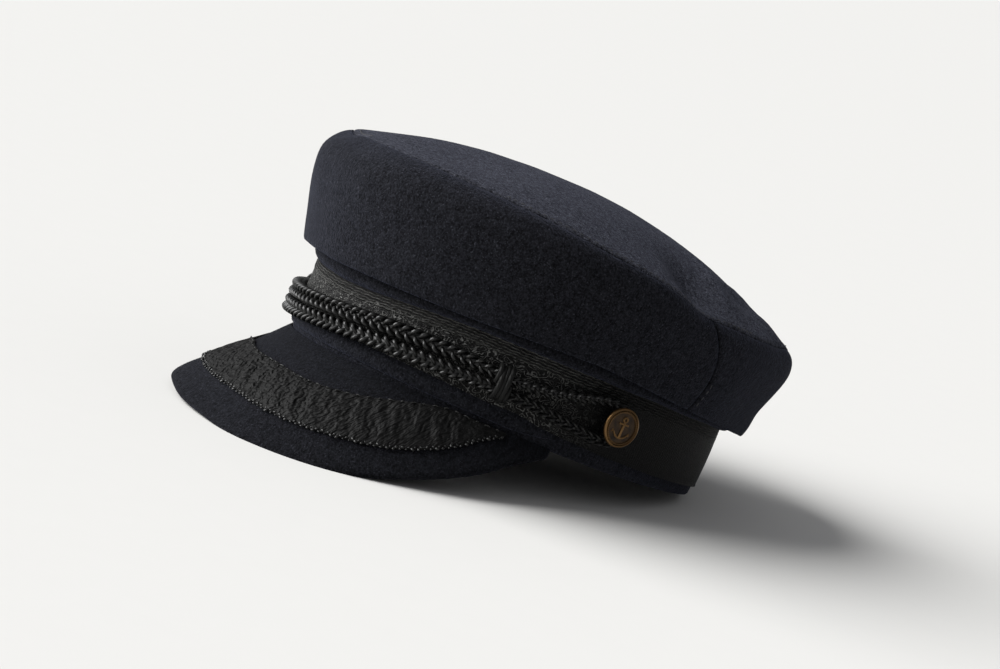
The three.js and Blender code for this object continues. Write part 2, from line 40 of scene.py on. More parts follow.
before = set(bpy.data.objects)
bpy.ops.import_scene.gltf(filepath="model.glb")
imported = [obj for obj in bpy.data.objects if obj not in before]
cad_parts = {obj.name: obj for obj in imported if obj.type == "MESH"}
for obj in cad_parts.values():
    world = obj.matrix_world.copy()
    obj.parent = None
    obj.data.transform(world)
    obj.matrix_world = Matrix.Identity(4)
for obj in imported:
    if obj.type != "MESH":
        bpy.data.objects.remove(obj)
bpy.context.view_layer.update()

# The cap's own frame: millimetres, peak to -Y, wearer's left +X, rim in z = 0
TIP = math.radians(10.7317)
STAND = np.array((0.3155, 5.6271, 17.9141))
BAND_HALF_LENGTH = 100.5
BAND_HALF_WIDTH = 85.0
GAP = 0.3
UP = np.array((0.0, 0.0, 1.0))

# Ribbon edges round the band: angle from the front, bottom, top
RIBBON_EDGES = (
    (0, 9.5, 31),
    (45, 9.5, 35.5),
    (90, 6, 36),
    (180, 5, 31.5),
)

# Crown seam round the top: angle from the front, out from the band, up from the rim
TOP_SEAM = (
    (0, 8.5, 87.5),
    (40, 9.5, 88),
    (75, 12.5, 83.5),
    (100, 13.5, 77),
    (140, 16, 76),
    (180, 17, 74.5),
)
TOP_PEAK_UP = 104.0
TOP_PEAK_BACK = 4.0
SIDE_SEAM = 98.5

# The top seam pulls the cloth in, hardly at the front and fully from a little way round
SEAM_PINCH = 0.8
SEAM_SPREAD = 2.2
SEAM_LEAST = 0.1
SEAM_OPENS_AT = 8.0
SEAM_OPENS_OVER = 25.0
SEAM_POINTS = 720

# Lower fold of the crown's side: angle from the front, up from the rim
CROWN_FOLD = (
    (0, 37.3),
    (40, 39),
    (75, 41.5),
    (100, 38.5),
    (140, 34.5),
    (180, 32),
)

# Small shifts of the cloth: middle, spread each way, how far it moves
CROWN_SHIFTS = (
    ((82, 9, 86), (15, 13, 14), (-2.0, 0, -5.4)),
    ((64, 32, 91), (26, 5, 12), (0.3, -0.6, 2.9)),
    ((45, 50, 92), (34, 28, 20), (0.2, 0.2, 1.0)),
    ((-5, -15, 101), (55, 60, 22), (0, 0, 1.2)),
    ((-60, -92, 66), (28, 26, 24), (-1.8, -2.2, -0.5)),
    ((-38, -104, 88), (17, 13, 7), (0.3, 0.4, -2.2)),
    ((-8, -112, 83), (9, 9, 6), (0, 0.8, -0.9)),
    ((47, 95, 34), (28, 22, 10), (1.5, 1.9, 0)),
    ((52, 103, 52), (26, 20, 8), (-0.6, -0.8, 0)),
    ((-10, -62, 99), (45, 42, 22), (0, 0, 2.1)),
    ((72, 60, 82), (16, 18, 14), (0.3, 0.5, 1.9)),
    ((72, 82, 54), (24, 24, 20), (0.9, 1.2, 0)),
    ((-38, -109, 72), (14, 14, 14), (-0.5, -0.65, 0)),
    ((95, 16, 48), (24, 30, 26), (0, 8, 0)),
    ((97, 17, 80), (24, 22, 12), (0, -6.5, 0)),
    ((64, 49, 88), (5, 13, 8), (0, 0, -1.5)),
    ((57, 54, 90), (7, 13, 9), (0, 0, 2.2)),
    ((68, 66, 84), (9, 11, 9), (0.2, 0.3, 2.0)),
    ((73, 40, 87), (13, 5, 10), (0.3, -0.4, 1.4)),
    ((86, 67, 77), (8, 9, 8), (-0.3, -0.3, -1.2)),
)
BAND_SHIFTS = (((60, 76, 18), (26, 26, 26), (1.1, 1.3, 0)),)
PEAK_SHIFTS = (
    ((-52, -124, -36), (28, 24, 22), (-1.9, -2.0, 3.2)),
    ((22, -136, -42), (42, 26, 14), (0, -0.4, -2.3)),
)

# Peak by share of its half width: length, droop in degrees
PEAK_END_ANGLE = 74.0
PEAK_ROOT_UP = 1.0
PEAK_BOW = 0.4
PEAK_FORWARD = 0.5
PEAK_SECTIONS = (
    (0, 58.5, 46),
    (0.25, 58.5, 46.5),
    (0.5, 53.5, 48),
    (0.8, 29, 51),
    (1, 5, 52),
)

# Trim on the peak by the same share: its inner and outer edge from the band
TRIM_END = 0.84
TRIM_EDGES = (
    (0, 20, 42),
    (0.2, 20, 42.6),
    (0.35, 16, 41),
    (0.55, 5, 34),
    (0.63, 1.5, 28.5),
    (0.72, 1.5, 19.5),
    (TRIM_END, 1.5, 5),
)
TRIM_REACH = 165.0
TRIM_UNEVEN = 9.0
TRIM_LEAST_WIDTH = 1.2
TRIM_LEAST_THICK = 0.65
TRIM_FULL_WIDTH = 14.0
FOLD_SLANT = 1.5

# Folds of the trim, broad, sharp and small: width, length, layer of noise
FOLDS = ((6.0, 16, 5), (2.9, 7.5, 3), (1.4, 3.4, 8))

# Cord by angle from the front: out, up on the left, up on the right, distance of its two runs
CORD_ROUTE = (
    (0, 4.6, 14, 14, 7.2),
    (12, 4.6, 15.6, 13, 7.2),
    (24, 4.6, 17.3, 12.6, 7.4),
    (36, 4.8, 18.4, 12.8, 7.6),
    (45, 5.6, 18.9, 13.6, 7.2),
    (52, 6.9, 19, 14.6, 6),
    (59, 6.9, 18.8, 15.4, 6),
    (64, 5.6, 18.9, 16.6, 7.2),
    (70, 4.7, 19.2, 18, 9.8),
    (77, 4.5, 20.1, 19.7, 14.2),
    (82, 4.5, 20.6, 20.6, 17),
)
CORD_UP_LEFT = 2
CORD_UP_RIGHT = 3
CORD_APART = 4
CORD_STEP = 0.5

# Cord by the same angle: its height and its depth
CORD_SIZES = (
    (0, 6.8, 5.6),
    (38, 6.8, 5.6),
    (51, 5.4, 5.2),
    (180, 5.2, 5.2),
)
EYE_TURNS = (60, 30, 0, -30, -60)
KNOT_AT = 55.5
KNOT_BORE = (3.6, 6.3)
BUTTON_AT = 86.0
BUTTON_UP = 20.8
BUTTON_OUT = 1.6
SHANK_LENGTH = 5.9
SHANK_RADIUS = 2.0

# Button radius, in millimetres, for which the anchor's sizes are given
ANCHOR_BUTTON = 8.6

# Camera: degrees round the cap, over it and of roll, then millimetres, then pixels right and up
CAMERA_TURNS = (38.03, 2.44, 23.83)
CAMERA_TARGET = np.array((0, -19.51, 43.91))
CAMERA_AWAY = 1268.45
CAMERA_AIM = (-0.95, 28.7)
SENSOR_WIDTH = 36
PICTURE_WIDTH = 1000

# Way to the main light by the picture's right, up and back, and the tint of the sky
KEY_WAY = (-0.72, 0.72, 0.1)
SKY_COLOUR = (0.95, 0.96, 1.0, 1.0)


def between_ends(p, start, end, start_slope, end_slope):
    """Values a share p of the way between two ends, smooth, with a slope at each end."""
    first = (2 * p**3 - 3 * p**2 + 1) * start + (p**3 - 2 * p**2 + p) * start_slope
    last = (3 * p**2 - 2 * p**3) * end + (p**3 - p**2) * end_slope
    return first + last


def smooth_rows(rows, at):
    """Columns of a table at some places, smooth between its rows and level at both ends."""
    table = np.array(rows, float)
    places, values = table[:, 0], table[:, 1:]
    secants = np.diff(values, axis=0) / np.diff(places)[:, None]
    slopes = np.zeros_like(values)
    slopes[1:-1] = (secants[1:] + secants[:-1]) / 2
    at = np.clip(np.asarray(at, float), places[0], places[-1])
    row = np.clip(np.searchsorted(places, at, side="right") - 1, 0, len(places) - 2)
    span = (places[row + 1] - places[row])[..., None]
    p = (at - places[row])[..., None] / span
    return between_ends(p, values[row], values[row + 1], span * slopes[row], span * slopes[row + 1])


def turn_to_row(ways):
    """Directions of the cap's own frame in the row frame."""
    ways = np.asarray(ways, float)
    c, s = math.cos(TIP), math.sin(TIP)
    x, y, z = ways[..., 0], ways[..., 1], ways[..., 2]
    return np.stack((x, y * c + z * s, z * c - y * s), axis=-1)


def to_row(spots):
    """Points of the cap's own frame, in millimetres, as metres in the row frame."""
    return (turn_to_row(spots) + STAND) / 1000


def from_row(spots):
    """Points of the row frame, in metres, as millimetres of the cap's own frame."""
    c, s = math.cos(TIP), math.sin(TIP)
    x, y, z = np.moveaxis(np.asarray(spots, float) * 1000 - STAND, -1, 0)
    return np.stack((x, y * c - z * s, z * c + y * s), axis=-1)


def half_angle(angle):
    """Angle from the front in degrees, folded onto one half of the cap."""
    turned = np.abs(angle) % 360
    return np.where(turned > 180, 360 - turned, turned)


def angle_of(spots):
    """Angle from the front, towards the wearer's left, of points in the cap's own frame."""
    return np.degrees(np.arctan2(spots[:, 0] / BAND_HALF_WIDTH, -spots[:, 1] / BAND_HALF_LENGTH))


def on_band(angle, out, up):
    """Points at an angle from the front towards the wearer's left."""
    turn = np.radians(angle)
    left = (BAND_HALF_WIDTH + out) * np.sin(turn)
    back = -(BAND_HALF_LENGTH + out) * np.cos(turn)
    return np.stack(np.broadcast_arrays(left, back, up), axis=-1).astype(float)


def unit(ways):
    """Directions made one long."""
    return ways / np.linalg.norm(ways, axis=-1, keepdims=True)


def outward(angle):
    """Level directions straight out of the band."""
    turn = np.radians(angle)
    left = np.sin(turn) / BAND_HALF_WIDTH
    back = -np.cos(turn) / BAND_HALF_LENGTH
    return unit(np.stack((left, back, np.zeros_like(left)), axis=-1))


def shifted(own, shifts):
    """Points of the cap's own frame, moved by small soft shifts."""
    moves = np.zeros_like(own)
    for middle, spread_out, move in shifts:
        away = ((own - np.array(middle)) / spread_out) ** 2
        moves += np.exp(-away.sum(axis=-1))[..., None] * move
    return own + moves


def on_peak(share, along, over):
    """Points of the peak at a signed share of its half width, out from the band and over the face."""
    share, along, over = np.broadcast_arrays(share, along, over)
    angle = PEAK_END_ANGLE * share
    sizes = smooth_rows(PEAK_SECTIONS, np.abs(share))
    length, droop = sizes[..., 0], np.radians(sizes[..., 1])
    ahead = np.array((0.0, -1.0, 0.0))
    way = outward(angle)
    way = unit(way + (ahead - way) * PEAK_FORWARD)
    part = along / length
    lift = 4 * PEAK_BOW * length / PEAK_SECTIONS[0][1] * part * (1 - part) + over
    out = GAP + along * np.cos(droop) + lift * np.sin(droop)
    up = lift * np.cos(droop) - along * np.sin(droop)
    spots = on_band(angle, 0, PEAK_ROOT_UP) + way * out[..., None]
    spots[..., 2] += up
    return shifted(spots, PEAK_SHIFTS)


def seam_opens(angle):
    """How open the top seam is, from 0 at the front to 1."""
    return np.clip((half_angle(angle) - SEAM_OPENS_AT) / SEAM_OPENS_OVER, 0, 1)


def seam_spots(count, reach):
    """Points along the seam round the top, a share of the way out from the middle of the dome."""
    angle = np.linspace(0, 360, count, endpoint=False)
    row = smooth_rows(TOP_SEAM, half_angle(angle))
    seam = on_band(angle, row[:, 0], row[:, 1])
    middle = np.array((0, TOP_PEAK_BACK, TOP_PEAK_UP))
    spots = middle + (seam - middle) * reach
    spots[:, 2] = TOP_PEAK_UP + (seam[:, 2] - TOP_PEAK_UP) * reach**2
    return to_row(spots)


def lengths_along(path, closed=False):
    """Length of a path up to each of its points, and back to the first where it is closed."""
    ends = np.roll(path, -1, axis=0) if closed else path[1:]
    steps = np.linalg.norm(ends - path[: len(ends)], axis=1)
    return np.concatenate(([0], np.cumsum(steps)))


def evenly(path, pitch):
    """Points at an even pitch along a closed path."""
    marks = lengths_along(path, True)
    count = int(round(marks[-1] / pitch))
    at = np.linspace(0, marks[-1], count, endpoint=False)
    ring = np.vstack((path, path[:1]))
    return np.stack([np.interp(at, marks, ring[:, k]) for k in range(3)], axis=1)


def spread(path, pitch, count=None):
    """Points at an even pitch, or so many of them, along an open path."""
    marks = lengths_along(path)
    count = count or int(round(marks[-1] / pitch)) + 1
    at = np.linspace(0, marks[-1], count)
    return np.stack([np.interp(at, marks, path[:, k]) for k in range(3)], axis=1)


def closed_ways(path):
    """Directions along a closed path."""
    return unit(np.roll(path, -1, axis=0) - np.roll(path, 1, axis=0))


def closed_curve(spots, fine):
    """Smooth closed line through some points, evenly spaced."""
    before, after, later = (np.roll(spots, shift, axis=0) for shift in (1, -1, -2))
    steps = ((before, spots), (spots, after), (after, later))
    d0, d1, d2 = (np.sqrt(np.linalg.norm(b - a, axis=1))[:, None] for a, b in steps)
    start = (spots - before) / d0 - (after - before) / (d0 + d1) + (after - spots) / d1
    end = (after - spots) / d1 - (later - spots) / (d1 + d2) + (later - after) / d2
    between = 24
    p = np.linspace(0, 1, between, endpoint=False)[None, :, None]
    ends = (spots, after, start * d1, end * d1)
    line = between_ends(p, *(value[:, None] for value in ends))
    return evenly(line.reshape(-1, 3), fine)


def cord_half(column, side):
    """Half of the cord's loop: out along the upper run, round the shank, back along the lower."""
    route = np.array(CORD_ROUTE, float)
    angle, out, middle, apart = route[:, 0], route[:, 1], route[:, column], route[:, CORD_APART]
    radius = apart[-1] / 2
    deep = smooth_rows(CORD_SIZES, BUTTON_AT)[1]
    per_degree = np.linalg.norm(on_band(BUTTON_AT, 0, 0) - on_band(BUTTON_AT + 1, 0, 0))
    eye_angle = BUTTON_AT + (SHANK_RADIUS + GAP + deep / 2 - radius) / per_degree
    turn = np.radians(EYE_TURNS)
    round_shank = side * (eye_angle + radius * np.cos(turn) / per_degree)
    upper = on_band(side * angle, out, middle + apart / 2)
    eye = on_band(round_shank, out[-1], middle[-1] + radius * np.sin(turn))
    lower = on_band(side * angle, out, middle - apart / 2)
    return np.vstack((upper, eye, lower[::-1]))


class Shade:
    """A socket of a material's nodes, with arithmetic that adds Math nodes."""

    def __init__(self, finish, socket):
        self.finish = finish
        self.socket = socket

    def math(self, operation, *values):
        sockets = dict(enumerate((self, *values)))
        return self.finish.node("ShaderNodeMath", {"operation": operation}, sockets)

    def __add__(self, other):
        return self.math("ADD", other)

    def __radd__(self, other):
        return self.math("ADD", other)

    def __sub__(self, other):
        return self.math("SUBTRACT", other)

    def __rsub__(self, other):
        return (self * -1).math("ADD", other)

    def __mul__(self, other):
        return self.math("MULTIPLY", other)

    def __rmul__(self, other):
        return self.math("MULTIPLY", other)

    def between(self, low, high):
        """0 below low, 1 above high and straight between."""
        sockets = {"Value": self, "From Min": low, "From Max": high}
        return self.finish.node("ShaderNodeMapRange", {"clamp": True}, sockets)

    def wave(self, period):
        """A sine of this value, from 0 to 1."""
        return (self * (2 * math.pi / period)).math("SINE") * 0.5 + 0.5


class Finish:
    """A material whose nodes are added one call at a time."""

    def __init__(self, name):
        self.material = bpy.data.materials.new(name)
        self.material.use_nodes = True
        self.tree = self.material.node_tree
        self.surface = self.tree.nodes["Principled BSDF"]

    def node(self, kind, settings=None, sockets=None, output=0):
        """A node of a kind, with its settings and the values or links of its sockets."""
        made = self.tree.nodes.new(kind)
        for key, value in (settings or {}).items():
            setattr(made, key, value)
        self.fill(made, sockets or {})
        return Shade(self, made.outputs[output])

    def fill(self, made, sockets):
        for key, value in sockets.items():
            if isinstance(value, Shade):
                self.tree.links.new(value.socket, made.inputs[key])
            else:
                made.inputs[key].default_value = value

    def place(self, kind="Object"):
        return self.node("ShaderNodeTexCoord", output=kind)

    def marked(self, name):
        """The number that each point of a piece has under a name."""
        return self.node("ShaderNodeAttribute", {"attribute_name": name}, output="Fac")

    def stretch(self, vector, scale):
        return self.node("ShaderNodeMapping", None, {"Vector": vector, "Scale": scale})

    def noise(self, vector, scale=1.0, detail=2.0, rough=0.5):
        sockets = {"Vector": vector, "Scale": scale, "Detail": detail, "Roughness": rough}
        return self.node("ShaderNodeTexNoise", {"noise_dimensions": "3D"}, sockets)

    def mix(self, factor, dark, light):
        """A colour between two others; the numbers are the sockets of a mix of colours."""
        dark, light = (c if isinstance(c, Shade) else (*c, 1.0) for c in (dark, light))
        return self.node("ShaderNodeMix", {"data_type": "RGBA"}, {0: factor, 6: dark, 7: light}, 2)

    def split(self, vector):
        """The first two parts of a vector."""
        first = self.node("ShaderNodeSeparateXYZ", None, {0: vector})
        return first, Shade(self, first.socket.node.outputs[1])

    def bump(self, height, strength, distance):
        sockets = {"Height": height, "Strength": strength, "Distance": distance}
        return self.node("ShaderNodeBump", None, sockets)

    def done(self, **sockets):
        """Fill the surface's sockets, named with underscores for spaces."""
        named = {key.replace("_", " "): value for key, value in sockets.items()}
        self.fill(self.surface, named)
        return self.material


def wool_finish(look, name, sheen, lift=1.0):
    """Felted wool: a mottled short nap with paler hairs, darker where painted shade is marked and brighter
    by lift, which is painted light.
    """
    wool = Finish(name)
    place = wool.place()
    broad = wool.noise(place, scale=28, detail=3)
    clumps = wool.noise(place, scale=380, detail=3, rough=0.6)
    nap = wool.noise(place, scale=1050, detail=3, rough=0.65)
    hairs = wool.noise(wool.stretch(place, (700, 2600, 1500)), rough=0.6)
    flecks = wool.noise(place, scale=1250, detail=1).between(0.62, 0.74)
    mottle = nap.between(0.41, 0.61) * 0.6 + clumps.between(0.4, 0.62) * 0.3
    shade = mottle + broad.between(0.3, 0.7) * 0.1
    # One less the painted shade marked on the peak; it darkens the nap's colour and its pale hairs
    raised = 1 - wool.marked("painted_shade")
    # lift brightens the nap and the pale hairs of a copy of the wool: painted light, used on the top panel
    light, fleck = ([c * lift for c in colour] for colour in (look.wool_light, look.wool_fleck))
    base = wool.mix(shade * raised, look.wool_dark, light)
    colour = wool.mix(flecks * raised * 0.45, base, fleck)
    height = nap * 0.6 + hairs * 0.25 + clumps * 0.45
    return wool.done(
        Base_Color=colour,
        Roughness=0.88 + nap * 0.1,
        Normal=wool.bump(height, strength=0.9, distance=0.0014),
        Specular_IOR_Level=0.06,
        Sheen_Weight=sheen,
        Sheen_Roughness=0.4,
        Sheen_Tint=(0.62, 0.68, 1.0, 1.0),
    )


def ribbon_finish(look):
    """Woven ribbon: raised wavy lines and curls of thread below them, painted pale as highlights, on a fine
    ground, with painted shade behind the buttons.
    """
    ribbon = Finish("black_ribbon")
    place = ribbon.place("UV")
    along, across = ribbon.split(place)
    lines = ribbon.marked("relief")
    ground = across.between(0.0246, 0.0236)
    drift = ribbon.noise(ribbon.stretch(place, (230, 260, 1)), detail=1)
    patches = ribbon.noise(ribbon.stretch(place, (300, 300, 1)), detail=1).between(0.32, 0.5)
    curls = (drift * 8).wave(1.0).between(0.55, 0.9) * patches
    front = along.between(0.145, 0.105) + along.between(0.445, 0.485)
    grain = ribbon.noise(ribbon.stretch(place, (1100, 1000, 1)), rough=0.6)
    weave = along.wave(0.0013) * across.wave(0.0011)
    raised = lines + curls * ground * front
    # Painted shade: the ribbon's colour and its lines dim to 0.3 behind the buttons
    dimmed_at_back = 0.3 + front * 0.7
    height = raised * 0.8 + weave * 0.15 + grain * 0.5
    cloth = weave * 0.35 + grain.between(0.3, 0.7) * 0.5
    base = ribbon.mix(cloth * dimmed_at_back, look.ribbon_dark, look.ribbon_light)
    # Painted highlight: the raised lines and curls take the pale line colour
    colour = ribbon.mix(raised * (0.55 + grain * 0.6) * dimmed_at_back, base, look.ribbon_line_highlight)
    return ribbon.done(
        Base_Color=colour,
        Roughness=0.62 - raised * 0.2,
        Normal=ribbon.bump(height, strength=0.9, distance=0.0013),
        Specular_IOR_Level=0.12,
    )


def trim_finish(look):
    """Thin gathered cloth: crinkled all over between its folds, less so towards one end, with painted
    highlight on its crinkles and painted shade towards that end.
    """
    trim = Finish("gathered_cloth")
    place = trim.place("UV")
    along, across = trim.split(place)
    drift = trim.noise(trim.stretch(place, (250, 190, 1)), detail=1.5)
    worms = (drift * 3.2).wave(1.0)
    crinkle = trim.noise(trim.stretch(place, (360, 250, 1)))
    grain = trim.noise(trim.stretch(place, (1500, 1500, 1)), rough=0.6)
    weave = (along + across * 0.4).wave(0.0014)
    # 1 at the start of the trim, 0.5 past it: how crumpled the cloth is, and its painted light there
    crumpled_and_lit = 1 - along.between(0.13, 0.2) * 0.5
    mottle = worms * 0.5 + crinkle.between(0.3, 0.7) * 0.5
    height = mottle * crumpled_and_lit + grain * 0.14 + weave * 0.05
    # Painted highlight on the crinkle ridges, as the colour follows the mottle of the height, and painted
    # shade past the crumpled start
    shade = (mottle * 0.55 + grain.between(0.35, 0.65) * 0.25) * (0.7 + crumpled_and_lit * 0.3)
    return trim.done(
        Base_Color=trim.mix(shade, look.ribbon_dark, look.trim_light),
        Roughness=0.68 - crinkle * 0.2,
        Normal=trim.bump(height, strength=1.0, distance=0.0013),
        Specular_IOR_Level=0.09,
    )


def braid_finish(look, name="black_braid", gloss=0.42):
    """Satin yarn: fine threads laid along each strand, with a narrow bright crest."""
    braid = Finish(name)
    along, around = braid.split(braid.place("UV"))
    threads = (around * 8 + along * 300).wave(1.0)
    worn = braid.noise(braid.place(), scale=300)
    return braid.done(
        Base_Color=braid.mix(threads * 0.6 + worn * 0.4, look.braid_dark, look.braid_light),
        Roughness=0.5 - gloss * 0.45 + worn * 0.16,
        Normal=braid.bump(threads, strength=0.3, distance=0.0002),
        Specular_IOR_Level=gloss,
    )


def thread_finish(look):
    """Sewing thread with a slight twist."""
    thread = Finish("sewing_thread")
    twist = thread.noise(thread.place(), scale=1800, detail=1)
    colour = thread.mix(twist, look.thread_dark, look.thread_light)
    return thread.done(Base_Color=colour, Roughness=0.55 + twist * 0.15, Specular_IOR_Level=0.4)


def brass_finish(look):
    """Old brass: bright on what stands up, brown in the hollows."""
    brass = Finish("aged_brass")
    stain = brass.noise(brass.place(), scale=420, detail=4, rough=0.6)
    worn = (brass.marked("relief") * 0.85 + (stain - 0.5) * 0.7).between(0.1, 0.8)
    return brass.done(
        Base_Color=brass.mix(worn, look.brass_dark, look.brass_light),
        Metallic=0.55 + worn * 0.4,
        Roughness=0.6 - worn * 0.24,
        Normal=brass.bump(stain, strength=0.15, distance=0.0003),
    )


def floor_finish(colour):
    """Pale floor with a trace of grain."""
    floor = Finish("pale_floor")
    grain = floor.noise(floor.place(), scale=60, detail=3)
    dark = [c * 0.985 for c in colour]
    mixed = floor.mix(grain, dark, colour)
    return floor.done(Base_Color=mixed, Roughness=0.85, Specular_IOR_Level=0.1)


def only(piece):
    """Select one piece alone and make it the active one."""
    bpy.ops.object.select_all(action="DESELECT")
    piece.select_set(True)
    bpy.context.view_layer.objects.active = piece


def start(add, **settings):
    """Start of a piece: a primitive at its size and place, selected alone."""
    bpy.ops.object.select_all(action="DESELECT")
    add(**settings)
    return bpy.context.object


def new_object(name, data):
    """Object of some data, in the scene."""
    piece = bpy.data.objects.new(name, data)
    bpy.context.scene.collection.objects.link(piece)
    return piece


def settle(piece, finish, slot, *nodes):
    """Give a piece its finish and its place on the cap, and hide the nodes that it stands for."""
    piece.data.materials.clear()
    piece.data.materials.append(finish)
    only(piece)
    bpy.ops.object.shade_smooth_by_angle(angle=math.radians(60))
    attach(piece, "root")
    if nodes:
        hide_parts(*nodes)
    return piece


def refine(piece, kind, **settings):
    """Add a modifier to a piece and apply it."""
    only(piece)
    made = piece.modifiers.new(kind.title(), kind)
    for key, value in settings.items():
        setattr(made, key, value)
    bpy.ops.object.modifier_apply(modifier=made.name)


def face_out(piece):
    """Turn all faces of a piece outwards."""
    only(piece)
    bpy.ops.object.mode_set(mode="EDIT")
    bpy.ops.mesh.select_all(action="SELECT")
    bpy.ops.mesh.normals_make_consistent(inside=False)
    bpy.ops.object.mode_set(mode="OBJECT")


def join(name, pieces):
    """Join pieces into one under a name."""
    only(pieces[0])
    for piece in pieces:
        piece.select_set(True)
    bpy.ops.object.join()
    pieces[0].name = name
    pieces[0].data.name = name
    return pieces[0]


def mark(piece, name, value):
    """Give each point of a piece a number that its finish reads."""
    layer = piece.data.attributes.new(name, "FLOAT", "POINT")
    values = np.broadcast_to(value, len(piece.data.vertices))
    layer.data.foreach_set("value", values.astype(np.float32))


def skin_of(piece):
    """Tree of a piece's faces, for finding the nearest of them."""
    mesh = piece.data
    return BVHTree.FromPolygons([v.co for v in mesh.vertices], [p.vertices for p in mesh.polygons])


def on_skin(tree, spots):
    """Nearest points of a skin and its normals there."""
    found = [tree.find_nearest(Vector(spot)) for spot in spots]
    return np.array([f[0] for f in found]), np.array([f[1] for f in found])


def round_strip(share, wide):
    """UV places round a strip: a share of the way over its face, then back under it."""
    edge = 0.001
    return np.concatenate((share * wide, (wide + edge, 2 * wide + edge, 2 * (wide + edge))))


class Skin:
    """Points, faces and UV places of one or more skins that will be one mesh."""

    def __init__(self):
        self.spots = []
        self.faces = []
        self.places = []
        self.count = 0

    def loft(self, rings, closed, along, around):
        """Skin over like rings of points, closed into a loop or capped at both ends.

        along holds a place for each ring and around one for each point, both for the UV map;
        each has one value more where the skin closes on itself.
        """
        rings = np.asarray(rings, float)
        count, sides = rings.shape[:2]
        rows = count if closed else count - 1
        i, j = (g.ravel() for g in np.meshgrid(np.arange(rows), np.arange(sides), indexing="ij"))
        i2, j2 = (i + 1) % count, (j + 1) % sides
        corners = ((i, j), (i2, j), (i2, j2), (i, j2))
        faces = np.stack([row * sides + point for row, point in corners], axis=1) + self.count
        u = np.asarray(along)[np.stack((i, i + 1, i + 1, i), axis=1)]
        v = np.asarray(around)[np.stack((j, j, j + 1, j + 1), axis=1)]
        self.spots.append(rings.reshape(-1, 3))
        self.faces += faces.tolist()
        self.places.append(np.stack((u.ravel(), v.ravel()), axis=1))
        if not closed:
            first = np.arange(sides) + self.count
            self.faces += [first[::-1].tolist(), (first + (count - 1) * sides).tolist()]
            self.places.append(np.zeros((2 * sides, 2)))
        self.count += count * sides

    def tube(self, path, outs, tall, deep, sides, closed=False):
        """Oval tube along a path; outs are directions that its deep side faces. Metres."""
        ways = closed_ways(path) if closed else unit(np.gradient(path, axis=0))
        across = unit(np.cross(ways, outs))
        faces = np.cross(across, ways)
        turns = np.linspace(0, 2 * np.pi, sides, endpoint=False)[:, None]
        tall, deep = (np.broadcast_to(size, len(path))[:, None, None] / 2 for size in (tall, deep))
        rings = path[:, None] + across[:, None] * tall * np.sin(turns)
        rings = rings + faces[:, None] * deep * np.cos(turns)
        self.loft(rings, closed, lengths_along(path, closed), np.linspace(0, 1, sides + 1))

    def stub(self, middle, way, out, reach, lift, tall, deep):
        """Short piece of thread along a way, lifted out of the cloth. Metres."""
        rings, sides = 5, 6
        along = np.linspace(-0.5, 0.5, rings)[:, None]
        lift = np.broadcast_to(lift, rings)[:, None]
        path = middle + along * way * reach + lift * out
        self.tube(path, np.tile(out, (rings, 1)), tall, deep, sides)

    def piece(self, name):
        """One object of all the skins, with its faces turned out."""
        mesh = bpy.data.meshes.new(name)
        mesh.from_pydata(np.vstack(self.spots).tolist(), [], self.faces)
        layer = mesh.uv_layers.new(name="UVMap")
        layer.data.foreach_set("uv", np.vstack(self.places).ravel())
        made = new_object(name, mesh)
        face_out(made)
        return made


def cloth_copy(node, name, crease):
    """Merged copy of a node's cloth, its rims eased and its faces made fine and even."""
    piece = new_object(name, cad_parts[node].data.copy())
    only(piece)
    bpy.ops.object.mode_set(mode="EDIT")
    bpy.ops.mesh.select_all(action="SELECT")
    bpy.ops.mesh.remove_doubles(threshold=2e-6)
    limits = {"face_threshold": math.radians(40), "shape_threshold": math.radians(60)}
    bpy.ops.mesh.tris_convert_to_quads(**limits)
    bpy.ops.mesh.select_all(action="DESELECT")
    bpy.ops.mesh.select_mode(type="EDGE")
    bpy.ops.mesh.edges_select_sharp(sharpness=math.radians(45))
    bpy.ops.transform.edge_crease(value=crease)
    bpy.ops.mesh.select_mode(type="VERT")
    bpy.ops.object.mode_set(mode="OBJECT")
    refine(piece, "SUBSURF", levels=2, render_levels=2)
    return piece


def shift_cloth(piece, shifts, pinch):
    """Shift a panel's cloth and pull it in along the seam round the top."""
    mesh = piece.data
    spots = np.empty(len(mesh.vertices) * 3)
    mesh.vertices.foreach_get("co", spots)
    spots = spots.reshape(-1, 3)
    own = from_row(spots)
    seam = KDTree(SEAM_POINTS)
    for number, spot in enumerate(seam_spots(SEAM_POINTS, 1.0)):
        seam.insert(spot, number)
    seam.balance()
    near = np.array([seam.find(spot)[2] for spot in spots]) * 1000
    middle_up = 60
    centre = np.array((0, TOP_PEAK_BACK, middle_up))
    depth = pinch * np.maximum(seam_opens(angle_of(own)), SEAM_LEAST)
    pull = (depth * np.exp(-((near / SEAM_SPREAD) ** 2)))[:, None] * unit(centre - own)
    mesh.vertices.foreach_set("co", to_row(shifted(own, shifts) + pull).ravel())
    mesh.update()


def ruffle(piece, depth, size, seed):
    """Soft unevenness of cloth: every point moves a little along its normal, none under the floor."""
    offset = Vector((seed, seed * 1.7, -seed))
    finer, fine_depth = 2.3, 0.4
    moved = []
    for vertex in piece.data.vertices:
        spot = vertex.co.copy()
        broad = noise.noise(spot / size + offset)
        fine = noise.noise(spot / size * finer - offset)
        moved.append(spot + vertex.normal * depth * (broad + fine_depth * fine))
    moved = np.array(moved)
    moved[:, 2] = np.maximum(moved[:, 2], 0)
    piece.data.vertices.foreach_set("co", moved.ravel())
    piece.data.update()


def colour_of(name, description, default):
    """Property for a colour."""
    return FloatVectorProperty(name=name, description=description, subtype="COLOR", default=default)


def length_of(name, description, default):
    """Property for a length in metres."""
    return FloatProperty(name=name, description=description, unit="LENGTH", default=default)


